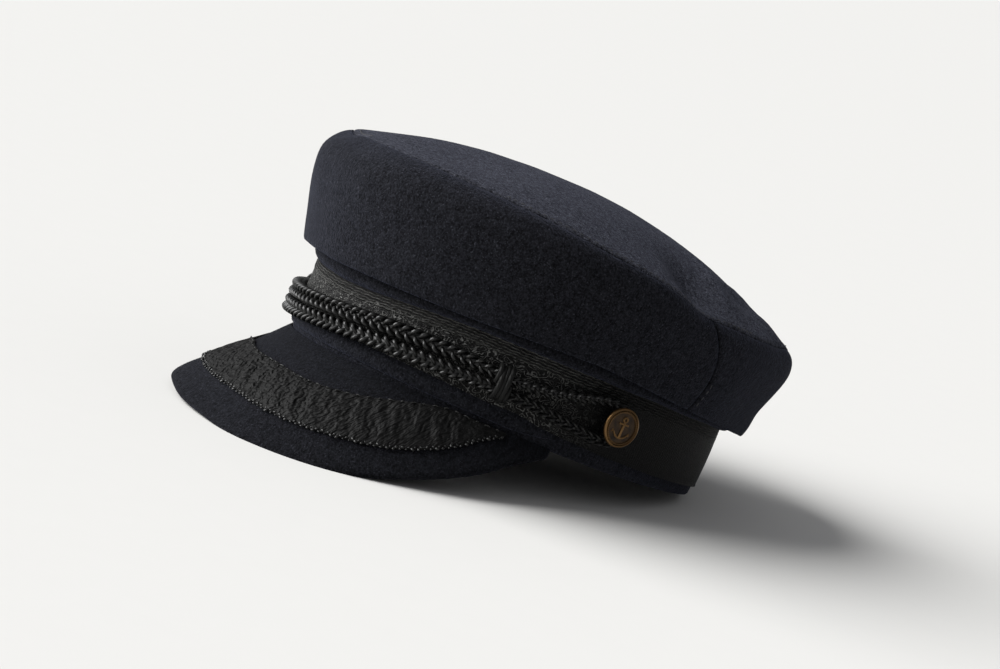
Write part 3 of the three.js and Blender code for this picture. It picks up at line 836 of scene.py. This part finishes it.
class CapCloth(bpy.types.PropertyGroup):
    """Cloth and its colours."""

    wool_dark: colour_of("Wool dark", "Navy of the wool in its hollows", (0.0006, 0.00065, 0.0008))
    wool_light: colour_of("Wool light", "Navy of the wool's nap", (0.0158, 0.0164, 0.0205))
    wool_fleck: colour_of("Wool fleck", "Pale hairs in the nap", (0.052, 0.054, 0.067))
    ribbon_dark: colour_of("Ribbon dark", "Ribbon between its threads", (0.0014, 0.0014, 0.0013))
    ribbon_light: colour_of("Ribbon light", "Ribbon on its threads", (0.0095, 0.0095, 0.0094))
    # Painted highlight: the trim's colour on its raised crinkles
    trim_light: colour_of("Trim light", "Peak trim on its folds", (0.0135, 0.0135, 0.0134))
    # Painted highlight of the ribbon's raised threads
    ribbon_line_highlight: colour_of("Ribbon lines", "Raised threads of the ribbon", (0.12, 0.12, 0.115))
    braid_dark: colour_of("Braid dark", "Cord between its yarns", (0.0015, 0.0015, 0.0014))
    braid_light: colour_of("Braid light", "Cord on its yarns", (0.009, 0.009, 0.0085))
    thread_dark: colour_of("Thread dark", "Sewing thread", (0.003, 0.0032, 0.0045))
    thread_light: colour_of("Thread light", "Sewing thread's shine", (0.035, 0.034, 0.038))
    brass_dark: colour_of("Brass dark", "Stain in the hollows of the brass", (0.011, 0.0058, 0.003))
    brass_light: colour_of("Brass light", "Brass where it is rubbed", (0.142, 0.081, 0.033))
    wool_ease: length_of("Unevenness", "How far the cloth strays from its smooth shape", 0.00045)


class CapSewing(bpy.types.PropertyGroup):
    """Seams, ribbon and trim."""

    stitch_pitch: length_of("Stitch pitch", "From one stitch to the next", 0.0034)
    stitch_length: length_of("Stitch length", "Thread that shows of one stitch", 0.0024)
    thread_width: length_of("Thread width", "Width of the thread", 0.0006)
    ribbon_ribs: IntProperty(name="Ribbon ribs", description="Wavy lines along the ribbon's top", default=5)
    picot_pitch: length_of("Picot pitch", "From one bead of the trim's edge to the next", 0.0013)


class CapCord(bpy.types.PropertyGroup):
    """Cord, knots and buttons."""

    plait_period: length_of("Plait period", "Length in which a strand crosses and returns", 0.0126)
    strands: IntProperty(name="Strands", description="Strands of the plait", default=3)
    knot_wraps: IntProperty(name="Wraps", description="Turns of the whipping on a knot", default=4)
    button_radius: length_of("Button radius", "Half the button's width", 0.0086)


class CapStage(bpy.types.PropertyGroup):
    """Floor, light and camera."""

    floor_colour: colour_of("Floor", "Colour of the floor", (0.655, 0.65, 0.63))
    floor_size: length_of("Floor size", "Side of the floor", 90.0)
    key_power: FloatProperty(name="Key light", description="Strength of the main light", default=6.9)
    key_width: FloatProperty(
        name="Key width",
        description="How wide the main light looks",
        subtype="ANGLE",
        default=math.radians(62),
    )
    sky: FloatProperty(name="Sky", description="Strength of the light from all round", default=0.31)
    lens: FloatProperty(name="Lens", description="Focal length in millimetres", default=104.107)


class CAP_OT_wool(bpy.types.Operator):
    """Make the wool panels of the crown, the band and the peak."""

    bl_idname = "cap.wool"
    bl_label = "Wool panels"

    def execute(self, context):
        cloth = context.scene.cap_cloth
        # Copies of the wool: plain; the top panel's, brightened by lift as painted light; the peak's, with
        # less sheen as painted shade
        plain = wool_finish(cloth, "navy_wool", sheen=0.085)
        lit_top = wool_finish(cloth, "lit_top_wool", sheen=0.05, lift=3.5)
        smooth = wool_finish(cloth, "shaded_peak_wool", sheen=0.04)
        # Node, piece, crease of its rims, size of its unevenness, finish, shifts, pull of the seam
        panels = (
            ("crown_top", "wool_top", 0.35, 0.03, lit_top, CROWN_SHIFTS, SEAM_PINCH),
            ("crown_front", "wool_front", 0.35, 0.03, plain, CROWN_SHIFTS, SEAM_PINCH),
            ("crown_back", "wool_back", 0.35, 0.03, plain, CROWN_SHIFTS, SEAM_PINCH),
            ("band", "wool_band", 0.6, 0.05, plain, BAND_SHIFTS, 0),
            # The peak takes the copy with less sheen, which stands in for shade
            ("peak", "wool_peak", 0.5, 0.05, smooth, PEAK_SHIFTS, 0),
        )
        for seed, (node, name, crease, size, finish, shifts, pinch) in enumerate(panels):
            piece = cloth_copy(node, name, crease)
            shift_cloth(piece, shifts, pinch)
            ruffle(piece, cloth.wool_ease, size, seed + 1.0)
            # The peak's cloth gets painted shade, darker all over and most next to the band
            if node == "peak":
                mark(piece, "painted_shade", self.painted_shade(piece))
            settle(piece, finish, "wool", node)
        roll = self.roll()
        ruffle(roll, cloth.wool_ease, size=0.02, seed=9.0)
        settle(roll, plain, "wool")
        rim = self.rim()
        ruffle(rim, cloth.wool_ease * 0.5, size=0.02, seed=11.0)
        settle(rim, plain, "wool")
        settle(self.seam(), plain, "wool")
        return {"FINISHED"}

    def painted_shade(self, piece):
        """Painted shade on the peak's cloth: a little darker all over and most next to the band."""
        all_over, at_band, fades_over = 0.27, 0.35, 16
        spots = from_row([vertex.co for vertex in piece.data.vertices])
        scaled = spots[:, :2] / (BAND_HALF_WIDTH, BAND_HALF_LENGTH)
        away = (np.linalg.norm(scaled, axis=1) - 1) * BAND_HALF_LENGTH
        return all_over + at_band * np.exp(-((away / fades_over) ** 2))

    def rim(self):
        """Rounded lower edge of the band over the root of the peak, tapered at both ends."""
        steps, sides = 200, 18
        out, half_thick, up, half_tall, taper = 0.1, 2.0, 6, 3.9, 12
        angle = np.linspace(-PEAK_END_ANGLE, PEAK_END_ANGLE, steps)
        fade = np.clip((PEAK_END_ANGLE - np.abs(angle)) / taper, 0.12, 1)[:, None] ** 0.5
        turn = np.linspace(0, 2 * np.pi, sides, endpoint=False)
        outs = out + half_thick * fade * np.cos(turn)
        rings = on_band(angle[:, None], outs, up + half_tall * fade * np.sin(turn))
        skin = Skin()
        skin.loft(to_row(rings), False, np.linspace(0, 0.25, steps), np.linspace(0, 0.02, sides + 1))
        return skin.piece("wool_rim")

    def seam(self):
        """Turned-in cloth under the seams, which closes them from inside."""
        steps, sides, width = 240, 10, 0.0034
        sunk_front, sunk_more = 1.2, 0.4
        angle = np.linspace(0, 360, steps, endpoint=False)
        row = smooth_rows(TOP_SEAM, half_angle(angle))
        sunk = sunk_front + sunk_more * seam_opens(angle)
        ring = shifted(on_band(angle, row[:, 0] - sunk, row[:, 1] - sunk), CROWN_SHIFTS)
        skin = Skin()
        skin.tube(to_row(ring), turn_to_row(outward(angle)), width, width, sides, True)
        return skin.piece("wool_seam")

    def roll(self):
        """Soft roll of wool that shows on the band between the ribbon and the crown's fold."""
        steps, sides = 360, 20
        out, half_thick, tuck, least = 0.9, 3.6, 0.7, 1.4
        angle = np.linspace(0, 360, steps, endpoint=False)
        half = half_angle(angle)
        ribbon_top = smooth_rows(RIBBON_EDGES, half)[:, 1]
        fold = smooth_rows(CROWN_FOLD, half)[:, 0]
        turn = np.linspace(0, 2 * np.pi, sides, endpoint=False)
        middle = ((ribbon_top + fold) / 2)[:, None]
        tall = np.maximum((fold - ribbon_top) / 2 + tuck, least)[:, None]
        rings = on_band(angle[:, None], out + half_thick * np.cos(turn), middle + tall * np.sin(turn))
        rings = to_row(shifted(rings, BAND_SHIFTS))
        skin = Skin()
        skin.loft(rings, True, np.linspace(0, 0.6, steps + 1), np.linspace(0, 0.02, sides + 1))
        return skin.piece("wool_roll")


class CAP_OT_stitches(bpy.types.Operator):
    """Sew the stitches round the edge of the top panel and down beside the side seams."""

    bl_idname = "cap.stitches"
    bl_label = "Seam stitches"

    def execute(self, context):
        sewing = context.scene.cap_sewing
        skin = skin_of(bpy.data.objects["wool_top"])
        inside_seam, beside_seam, count = 0.974, 1.2, 360
        line, _ = on_skin(skin, seam_spots(count, inside_seam))
        spots, outs = on_skin(skin, evenly(line, sewing.stitch_pitch))
        lines = [(spots, closed_ways(spots), outs)]
        for side in (1, -1):
            lines.append(self.side_line(side * (SIDE_SEAM + beside_seam), sewing.stitch_pitch))
        sink = sewing.thread_width * np.array((-0.6, -0.06, 0.06, -0.06, -0.6))
        width = sewing.thread_width * np.array((0.7, 1, 1, 1, 0.7))
        stitches = Skin()
        for row in lines:
            for spot, way, out in zip(*row):
                stitches.stub(spot, way, out, sewing.stitch_length, sink, width, width)
        piece = stitches.piece("top_stitches")
        settle(piece, thread_finish(context.scene.cap_cloth), "wool")
        return {"FINISHED"}

    def side_line(self, angle, pitch):
        """Places along a side seam, on the back panel beside it, with the ways along and out."""
        out, low, high, count = 12.0, 41, 74, 40
        skin = skin_of(bpy.data.objects["wool_back"])
        guide = on_band(np.full(count, angle), out, np.linspace(low, high, count))
        line, _ = on_skin(skin, to_row(shifted(guide, CROWN_SHIFTS)))
        spots, outs = on_skin(skin, spread(line, pitch))
        return spots, unit(np.gradient(spots, axis=0)), outs


class CAP_OT_ribbon(bpy.types.Operator):
    """Lay the woven ribbon round the band."""

    bl_idname = "cap.ribbon"
    bl_label = "Band ribbon"

    def execute(self, context):
        steps, rows = 900, 84
        thick, line_high, hem_high, hem_wide = 1.0, 0.45, 0.3, 0.7
        middle_out, crowded, wide = 1.3, 0.8, 0.03
        fades_from, fades_over, fades_by = 80, 25, 0.75
        angle = np.linspace(0, 360, steps, endpoint=False)
        edges = smooth_rows(RIBBON_EDGES, half_angle(angle))
        bottom, top = edges[:, :1], edges[:, 1:]
        along = lengths_along(on_band(angle, middle_out, 0), True)
        share = np.linspace(0, 1, rows) ** crowded
        up = bottom + (top - bottom) * share
        lines = self.lines(along, top - up, context.scene.cap_sewing.ribbon_ribs)
        # The wavy lines are made lower behind the buttons, which through relief also dims their painted
        # highlight
        dimmed_at_back = np.clip((half_angle(angle) - fades_from) / fades_over, 0, 1)[:, None]
        lines *= 1 - fades_by * dimmed_at_back
        out = thick + line_high * lines + hem_high * np.exp(-(((up - bottom) / hem_wide) ** 2))
        outer = on_band(angle[:, None], out, up)
        inner = on_band(angle[:, None], np.full((steps, 2), GAP), np.hstack((top, bottom)))
        rings = to_row(shifted(np.concatenate((outer, inner), axis=1), BAND_SHIFTS))
        skin = Skin()
        skin.loft(rings, True, along / 1000, round_strip(share, wide))
        piece = skin.piece("ribbon")
        mark(piece, "relief", np.hstack((np.clip(lines, 0, 1), np.zeros((steps, 2)))).ravel())
        settle(piece, ribbon_finish(context.scene.cap_cloth), "ribbon_weave", "band_ribbon")
        return {"FINISHED"}

    def lines(self, along, below, ribs):
        """Heights of the wavy lines under the ribbon's top edge, from 0 to 1."""
        first, spacing, sway_wide, half_wide = 0.7, 1.2, 0.14, 0.3
        waves, lag, slow_waves, slow_lag = 110, 0.9, 31, 2.2
        turn = along[:-1, None] / along[-1] * 2 * np.pi
        lines = np.zeros_like(below)
        for rib in range(ribs):
            slow = np.sin(turn * slow_waves + rib * slow_lag)
            sway = np.sin(turn * waves + rib * lag) + 0.5 * slow
            middle = first + spacing * rib + sway_wide * sway
            lines += np.exp(-(((below - middle) / half_wide) ** 2))
        return lines


class CAP_OT_trim(bpy.types.Operator):
    """Sew the gathered trim with its edges across the peak."""

    bl_idname = "cap.trim"
    bl_label = "Peak trim"

    def execute(self, context):
        steps, rows, wide = 560, 30, 0.026
        uneven_from, uneven_over = 0.3, 0.2
        thin, body, least_folds = 0.4, 0.4, 0.2
        flat_from, flat_over, flat_by = 0.4, 0.125, 0.75
        share = np.linspace(-TRIM_END, TRIM_END, steps)[:, None]
        edges = smooth_rows(TRIM_EDGES, np.abs(share[:, 0]))
        inner, outer = edges[:, :1], edges[:, 1:]
        inner = inner + TRIM_UNEVEN * np.clip((-share - uneven_from) / uneven_over, 0, 1)
        inner = np.minimum(inner, outer - TRIM_LEAST_WIDTH)
        part = np.linspace(0, 1, rows)
        along = inner + (outer - inner) * part
        full = (outer - inner) / TRIM_FULL_WIDTH
        within = np.sin(np.pi * part) ** 0.5 * np.clip(full, least_folds, 1)
        thick = thin + body * np.clip(full, 0, 1) + self.gathers(share, along) * within
        thick *= 1 - flat_by * np.clip((-share - flat_from) / flat_over, 0, 1)
        over = to_row(on_peak(share, along, np.maximum(thick, TRIM_LEAST_THICK)))
        under = to_row(on_peak(share, along[:, [-1, 0]], GAP))
        skin = Skin()
        rings = np.concatenate((over, under), axis=1)
        skin.loft(rings, False, lengths_along(over[:, rows // 2]), round_strip(part, wide))
        piece = skin.piece("trim")
        cloth = context.scene.cap_cloth
        settle(piece, trim_finish(cloth), "ribbon_weave", "peak_trim")
        braid = braid_finish(cloth)
        share, inner, outer = share[:, 0], inner[:, 0], outer[:, 0]
        settle(self.tacks(share, inner, outer), braid, "ribbon_weave")
        pitch = context.scene.cap_sewing.picot_pitch
        settle(self.beads(share, outer, pitch), braid, "ribbon_weave")
        return {"FINISHED"}

    def gathers(self, share, along):
        """Heights of the slanting folds, each of its own length and depth."""
        across = share * TRIM_REACH - along / FOLD_SLANT
        spots = np.stack(np.broadcast_arrays(across, along), axis=-1).reshape(-1, 2)
        rise = []
        for a, b in spots:
            folds = (noise.noise((a / wide, b / long, layer)) for wide, long, layer in FOLDS)
            broad, sharp, small = folds
            ridge = 1 - 2.4 * abs(sharp)
            rise.append(0.6 + 0.75 * broad + 0.3 * ridge + 0.14 * small)
        return np.clip(rise, 0.05, 1.5).reshape(along.shape)

    def edge(self, share, along, over, pitch):
        """Places along a line on the peak, with the ways along, out and across there."""
        line = spread(to_row(on_peak(share, along, over)), pitch)
        high = spread(to_row(on_peak(share, along, over + 1)), pitch, len(line))
        outs = unit(high - line)
        ways = unit(np.gradient(line, axis=0))
        return zip(line, ways, outs, np.cross(ways, outs))

    def tacks(self, share, inner, outer):
        """Loose tacks along the inner edge, where the trim is wide enough to show them."""
        wide_enough, last_share = 5, -0.4
        inside, over, pitch = 0.8, 1.35, 0.0046
        tall, deep, sunk = 0.00055, 0.0006, 0.0004
        keep = (outer - inner > wide_enough) & (share > last_share)
        sink = np.array((-0.6, 0.3, 0.5, 0.3, -0.6)) * sunk
        tacks = Skin()
        places = self.edge(share[keep], inner[keep] + inside, over, pitch)
        for number, (spot, way, out, side) in enumerate(places):
            lean = unit(way + side * 0.35 * math.sin(number * 1.9))
            reach = 0.0016 + 0.0007 * math.sin(number * 2.7)
            tacks.stub(spot, lean, out, reach, sink, tall, deep)
        return tacks.piece("trim_tacks")

    def beads(self, share, outer, pitch):
        """Small uneven beads of thread along the outer edge, by turns to either side."""
        over, aside, lift, bead_long, bead_wide = 0.95, 0.0006, 0.0001, 0.00125, 0.00092
        profile = np.array((0.45, 0.9, 1, 0.9, 0.45))
        beads = Skin()
        for number, (spot, way, out, side) in enumerate(self.edge(share, outer, over, pitch)):
            size = 1 + 0.3 * math.sin(number * 2.4) + 0.2 * math.sin(number * 5.3 + 1)
            lean = unit(way * 0.7 + side * math.sin(number * 1.7))
            middle = spot + side * (aside if number % 2 else -aside)
            thick = bead_wide * size * profile
            beads.stub(middle, lean, out, bead_long * size, lift, thick, thick)
        return beads.piece("trim_picot")


class CAP_OT_cord(bpy.types.Operator):
    """Plait the doubled cord over the front of the band."""

    bl_idname = "cap.cord"
    bl_label = "Cord"

    def execute(self, context):
        cord = context.scene.cap_cord
        strand_tall, strand_deep, core_tall, core_deep = 0.24, 0.36, 0.56, 0.36
        left, right = cord_half(CORD_UP_LEFT, 1), cord_half(CORD_UP_RIGHT, -1)
        path = closed_curve(np.vstack((left, right[1:-1][::-1])), CORD_STEP)
        angle = angle_of(path)
        tall, deep = smooth_rows(CORD_SIZES, np.abs(angle)).T[:, :, None]
        ways = closed_ways(path)
        across = unit(np.cross(ways, outward(angle)))
        outs = np.cross(across, ways)
        faces = turn_to_row(outs)
        whole = lengths_along(path, True)
        periods = round(whole[-1] / (cord.plait_period * 1000))
        turns = (whole[:-1] / whole[-1] * periods * 2 * np.pi)[:, None]
        width, depth = tall * strand_tall, deep * strand_deep
        reach = tall / 2 - width / 2
        lift = (deep / 2 - depth / 2) / math.sin(math.pi / 3)
        plait = Skin()
        for strand in range(cord.strands):
            phase = turns + 2 * np.pi * strand / cord.strands
            line = path + across * reach * np.sin(phase) + outs * lift * np.sin(2 * phase)
            plait.tube(to_row(line), faces, width[:, 0] / 1000, depth[:, 0] / 1000, 8, True)
        width, depth = tall * core_tall, deep * core_deep
        plait.tube(to_row(path), faces, width[:, 0] / 1000, depth[:, 0] / 1000, 10, True)
        settle(plait.piece("cord_plait"), bpy.data.materials["black_braid"], "cord_satin", "cord_loop")
        return {"FINISHED"}


class CAP_OT_knots(bpy.types.Operator):
    """Whip the two runs of the cord together on each side."""

    bl_idname = "cap.knots"
    bl_label = "Knots"

    def execute(self, context):
        yarn = braid_finish(context.scene.cap_cloth, "whipping_yarn", gloss=0.14)
        wraps = context.scene.cap_cord.knot_wraps
        half_length, clear, yarn_tall, yarn_deep = 3.3, 0.7, 0.0021, 0.0019
        per_wrap, tuck_by, tuck_over = 30, 0.5, 0.7
        out_by, left_up, right_up, _ = smooth_rows(CORD_ROUTE, KNOT_AT)
        for word, side, middle in (("left", 1, left_up), ("right", -1, right_up)):
            angle = np.array(side * KNOT_AT)
            centre = on_band(angle, out_by, middle)
            out = outward(angle)
            along = np.cross(UP, out)
            turn = np.linspace(0, 2 * np.pi * wraps, wraps * per_wrap)[:, None]
            slide = np.linspace(-half_length, half_length, len(turn))[:, None]
            from_end = np.minimum(turn, turn[-1] - turn)
            tuck = 1 - tuck_by * np.clip(1 - from_end / tuck_over, 0, 1)
            uneven = 1 + 0.05 * np.sin(turn * 0.37 + 1) + 0.03 * np.sin(turn * 2.3)
            deep, tall = (bore + clear for bore in KNOT_BORE)
            way = np.cos(turn) * out * deep + np.sin(turn) * UP * tall
            path = centre + along * slide + way * tuck * uneven
            outs = unit(np.cos(turn) * out + np.sin(turn) * UP)
            whipping = Skin()
            whipping.tube(to_row(path), turn_to_row(outs), yarn_tall, yarn_deep, 12)
            settle(whipping.piece(f"whipping_{word}"), yarn, "cord_satin", f"knot_{word}")
        return {"FINISHED"}


class CAP_OT_buttons(bpy.types.Operator):
    """Turn the brass buttons with a plain anchor and set them over the cord's ends."""

    bl_idname = "cap.buttons"
    bl_label = "Buttons"

    def execute(self, context):
        radius = context.scene.cap_cord.button_radius
        brass = brass_finish(context.scene.cap_cloth)
        for word, side in (("left", 1), ("right", -1)):
            parts = [self.disc(radius), self.rope_edge(radius), *self.anchor(radius)]
            piece = join(f"brass_{word}", parts)
            out = outward(np.array(side * BUTTON_AT))
            basis = turn_to_row(np.stack((np.cross(UP, out), UP, out)))
            spot = to_row(on_band(side * BUTTON_AT, BUTTON_OUT, BUTTON_UP))
            piece.matrix_world = Matrix.Translation(spot) @ Matrix(basis.T.tolist()).to_4x4()
            only(piece)
            bpy.ops.object.transform_apply(location=True, rotation=True, scale=True)
            settle(piece, brass, "brass", f"button_{word}")
        return {"FINISHED"}

    def disc(self, radius):
        """Disc with a shank behind, a raised edge and a slightly domed face."""
        back = SHANK_LENGTH / 1000
        chamfer, edge_wide, edge_from = 0.0006, 0.0013, 0.0005
        shank = {"vertices": 64, "radius": SHANK_RADIUS / 1000, "fill_type": "NGON"}
        piece = start(bpy.ops.mesh.primitive_circle_add, **shank)
        bpy.ops.object.mode_set(mode="EDIT")
        bpy.ops.mesh.select_all(action="SELECT")
        to_back = (radius - chamfer) * 1000 / SHANK_RADIUS
        to_edge = radius / (radius - chamfer)
        # Rise and growth of the shank, the back, its chamfer and the side
        for rise, grow in ((back, 1), (0, to_back), (0.0007, to_edge), (0.001, 1)):
            bpy.ops.mesh.extrude_region_move(TRANSFORM_OT_translate={"value": (0, 0, rise)})
            bpy.ops.transform.resize(value=(grow, grow, 1))
        # Inset and rise of each step of the raised edge and of the domed face
        edge = ((0.0004, 0.0004), (0.0004, 0.0001), (0.0004, -0.0006))
        dome = ((0.0012, 0.0001), (0.003, 0.0003))
        for inset, rise in (*edge, *dome):
            bpy.ops.mesh.inset(thickness=inset, depth=rise)
        bpy.ops.object.mode_set(mode="OBJECT")
        face_out(piece)
        heights = np.array([v.co.z for v in piece.data.vertices])
        spans = np.array([v.co.xy.length for v in piece.data.vertices])
        rubbed = (spans > radius - edge_wide) & (heights > back + edge_from)
        mark(piece, "relief", np.where(rubbed, 0.95, 0.25))
        return piece

    def rope_edge(self, radius):
        """Twisted rope inside the raised edge."""
        steps, twists, strand_wide, swing = 288, 24, 0.00042, 0.00018
        inside, over_back = 0.0016, 0.00195
        level = SHANK_LENGTH / 1000 + over_back
        turn = np.linspace(0, 2 * np.pi, steps, endpoint=False)[:, None]
        flat = np.hstack((np.cos(turn), np.sin(turn), np.zeros_like(turn)))
        rope = Skin()
        for strand in range(2):
            phase = turn * twists + np.pi * strand
            path = flat * (radius - inside + swing * np.cos(phase))
            path = path + UP * (level + swing * np.sin(phase))
            rope.tube(path, np.tile(UP, (steps, 1)), strand_wide, strand_wide, 6, True)
        piece = rope.piece("rope")
        mark(piece, "relief", 0.75)
        return piece

    def anchor(self, radius):
        """Plain anchor: ring, stock, shank and two curved arms with flukes."""
        over_back, thick = 0.0021, 0.0009
        level = SHANK_LENGTH / 1000 + over_back
        size = radius / ANCHOR_BUTTON
        ring = start(
            bpy.ops.mesh.primitive_torus_add,
            major_segments=24,
            minor_segments=8,
            major_radius=size,
            minor_radius=0.42 * size,
            location=(0, 3.7 * size, level),
        )
        parts = [ring]
        # Width, height and middle of the stock and of the shank
        for width, height, middle in ((5.2, 0.9, 1.75), (1.2, 7.0, -0.9)):
            piece = start(bpy.ops.mesh.primitive_cube_add, size=1, location=(0, middle * size, level))
            piece.scale = (width * size, height * size, thick)
            bpy.ops.object.transform_apply(location=False, rotation=False, scale=True)
            refine(piece, "BEVEL", width=0.00028, segments=2)
            parts.append(piece)
        parts.append(self.arms(size, level, thick))
        for side in (1, -1):
            fluke = start(
                bpy.ops.mesh.primitive_cone_add,
                vertices=3,
                radius1=1.25 * size,
                radius2=0.2 * size,
                depth=thick,
                location=(side * 4.1 * size, -2.0 * size, level),
                rotation=(0, 0, math.radians(-18 * side)),
            )
            parts.append(fluke)
        for piece in parts:
            only(piece)
            bpy.ops.object.transform_apply(location=True, rotation=True, scale=True)
            mark(piece, "relief", 1.0)
        return parts

    def arms(self, size, level, deep):
        """Both arms of the anchor as one bow, slimmer towards its ends."""
        rings, bow, down = 29, 4.1, 0.2
        turn = np.radians(np.linspace(207, 333, rings))
        arc = np.stack((bow * np.cos(turn), bow * np.sin(turn) - down, np.zeros_like(turn)), axis=1)
        tall = 0.0011 * (1 - 0.45 * np.abs(np.linspace(-1, 1, rings)) ** 2)
        outs = np.tile(UP, (rings, 1))
        arms = Skin()
        arms.tube(arc * size + outs * level, outs, tall, deep, 8)
        return arms.piece("arms")


class CAP_OT_stage(bpy.types.Operator):
    """Set the floor, the light and the camera."""

    bl_idname = "cap.stage"
    bl_label = "Stage"

    def execute(self, context):
        stage = context.scene.cap_stage
        floor = start(bpy.ops.mesh.primitive_plane_add, size=stage.floor_size, location=(0, 0, 0))
        floor.name = "floor"
        floor.data.materials.append(floor_finish(stage.floor_colour))
        axes = self.camera(context, stage)
        self.lights(context, stage, axes)
        return {"FINISHED"}

    def camera(self, context, stage):
        """Camera at the photograph's angle, aimed so that the cap sits in the frame as there."""
        around, over, roll = (math.radians(turn) for turn in CAMERA_TURNS)
        level = np.array((math.cos(around), -math.sin(around), 0))
        back = level * math.cos(over) + UP * math.sin(over)
        right = np.array((math.sin(around), math.cos(around), 0))
        up = np.cross(back, right)
        spot = to_row(CAMERA_TARGET + back * CAMERA_AWAY)
        c, s = math.cos(roll), math.sin(roll)
        right, up = right * c + up * s, up * c - right * s
        pixels = stage.lens / SENSOR_WIDTH * PICTURE_WIDTH
        back = unit(back + right * (CAMERA_AIM[0] / pixels) + up * (CAMERA_AIM[1] / pixels))
        right = unit(np.cross(up, back))
        axes = turn_to_row(np.stack((right, np.cross(back, right), back)))
        lens = bpy.data.cameras.new("camera")
        lens.lens = stage.lens
        lens.sensor_width = SENSOR_WIDTH
        lens.clip_start = 0.05
        camera = new_object("camera", lens)
        camera.matrix_world = Matrix.Translation(spot) @ Matrix(axes.T.tolist()).to_4x4()
        context.scene.camera = camera
        return axes

    def lights(self, context, stage, axes):
        """Soft light from the upper left of the picture and a pale sky."""
        way = Vector(np.array(KEY_WAY) @ axes).normalized()
        light = bpy.data.lights.new("key", "SUN")
        light.energy = stage.key_power
        light.angle = stage.key_width
        lamp = new_object("key", light)
        lamp.matrix_world = Matrix.Translation(way * 2) @ way.to_track_quat("Z", "Y").to_matrix().to_4x4()
        world = bpy.data.worlds.new("sky")
        world.use_nodes = True
        sky = world.node_tree.nodes["Background"]
        sky.inputs["Color"].default_value = SKY_COLOUR
        sky.inputs["Strength"].default_value = stage.sky
        context.scene.world = world
        context.scene.view_settings.view_transform = "Standard"


class CAP_PT_panel(bpy.types.Panel):
    """Steps of the cap, in order."""

    bl_idname = "CAP_PT_panel"
    bl_label = "Sailor Cap"
    bl_space_type = "VIEW_3D"
    bl_region_type = "UI"
    bl_category = "Sailor Cap"

    def draw(self, context):
        for name in GROUPS:
            group = getattr(context.scene, name)
            box = self.layout.box()
            for key in group.__annotations__:
                box.prop(group, key)
        for operator in OPERATORS:
            self.layout.operator(operator.bl_idname)


GROUPS = {"cap_cloth": CapCloth, "cap_sewing": CapSewing, "cap_cord": CapCord, "cap_stage": CapStage}
OPERATORS = (
    CAP_OT_wool,
    CAP_OT_stitches,
    CAP_OT_ribbon,
    CAP_OT_trim,
    CAP_OT_cord,
    CAP_OT_knots,
    CAP_OT_buttons,
    CAP_OT_stage,
)


def register():
    for made in (*GROUPS.values(), *OPERATORS, CAP_PT_panel):
        bpy.utils.register_class(made)
    for name, group in GROUPS.items():
        setattr(bpy.types.Scene, name, PointerProperty(type=group))


def unregister():
    for name in GROUPS:
        delattr(bpy.types.Scene, name)
    for made in reversed((*GROUPS.values(), *OPERATORS, CAP_PT_panel)):
        bpy.utils.unregister_class(made)


def main():
    """Make the whole cap."""
    register()
    bpy.ops.cap.wool()
    bpy.ops.cap.stitches()
    bpy.ops.cap.ribbon()
    bpy.ops.cap.trim()
    bpy.ops.cap.cord()
    bpy.ops.cap.knots()
    bpy.ops.cap.buttons()
    bpy.ops.cap.stage()


if __name__ == "__main__":
    main()
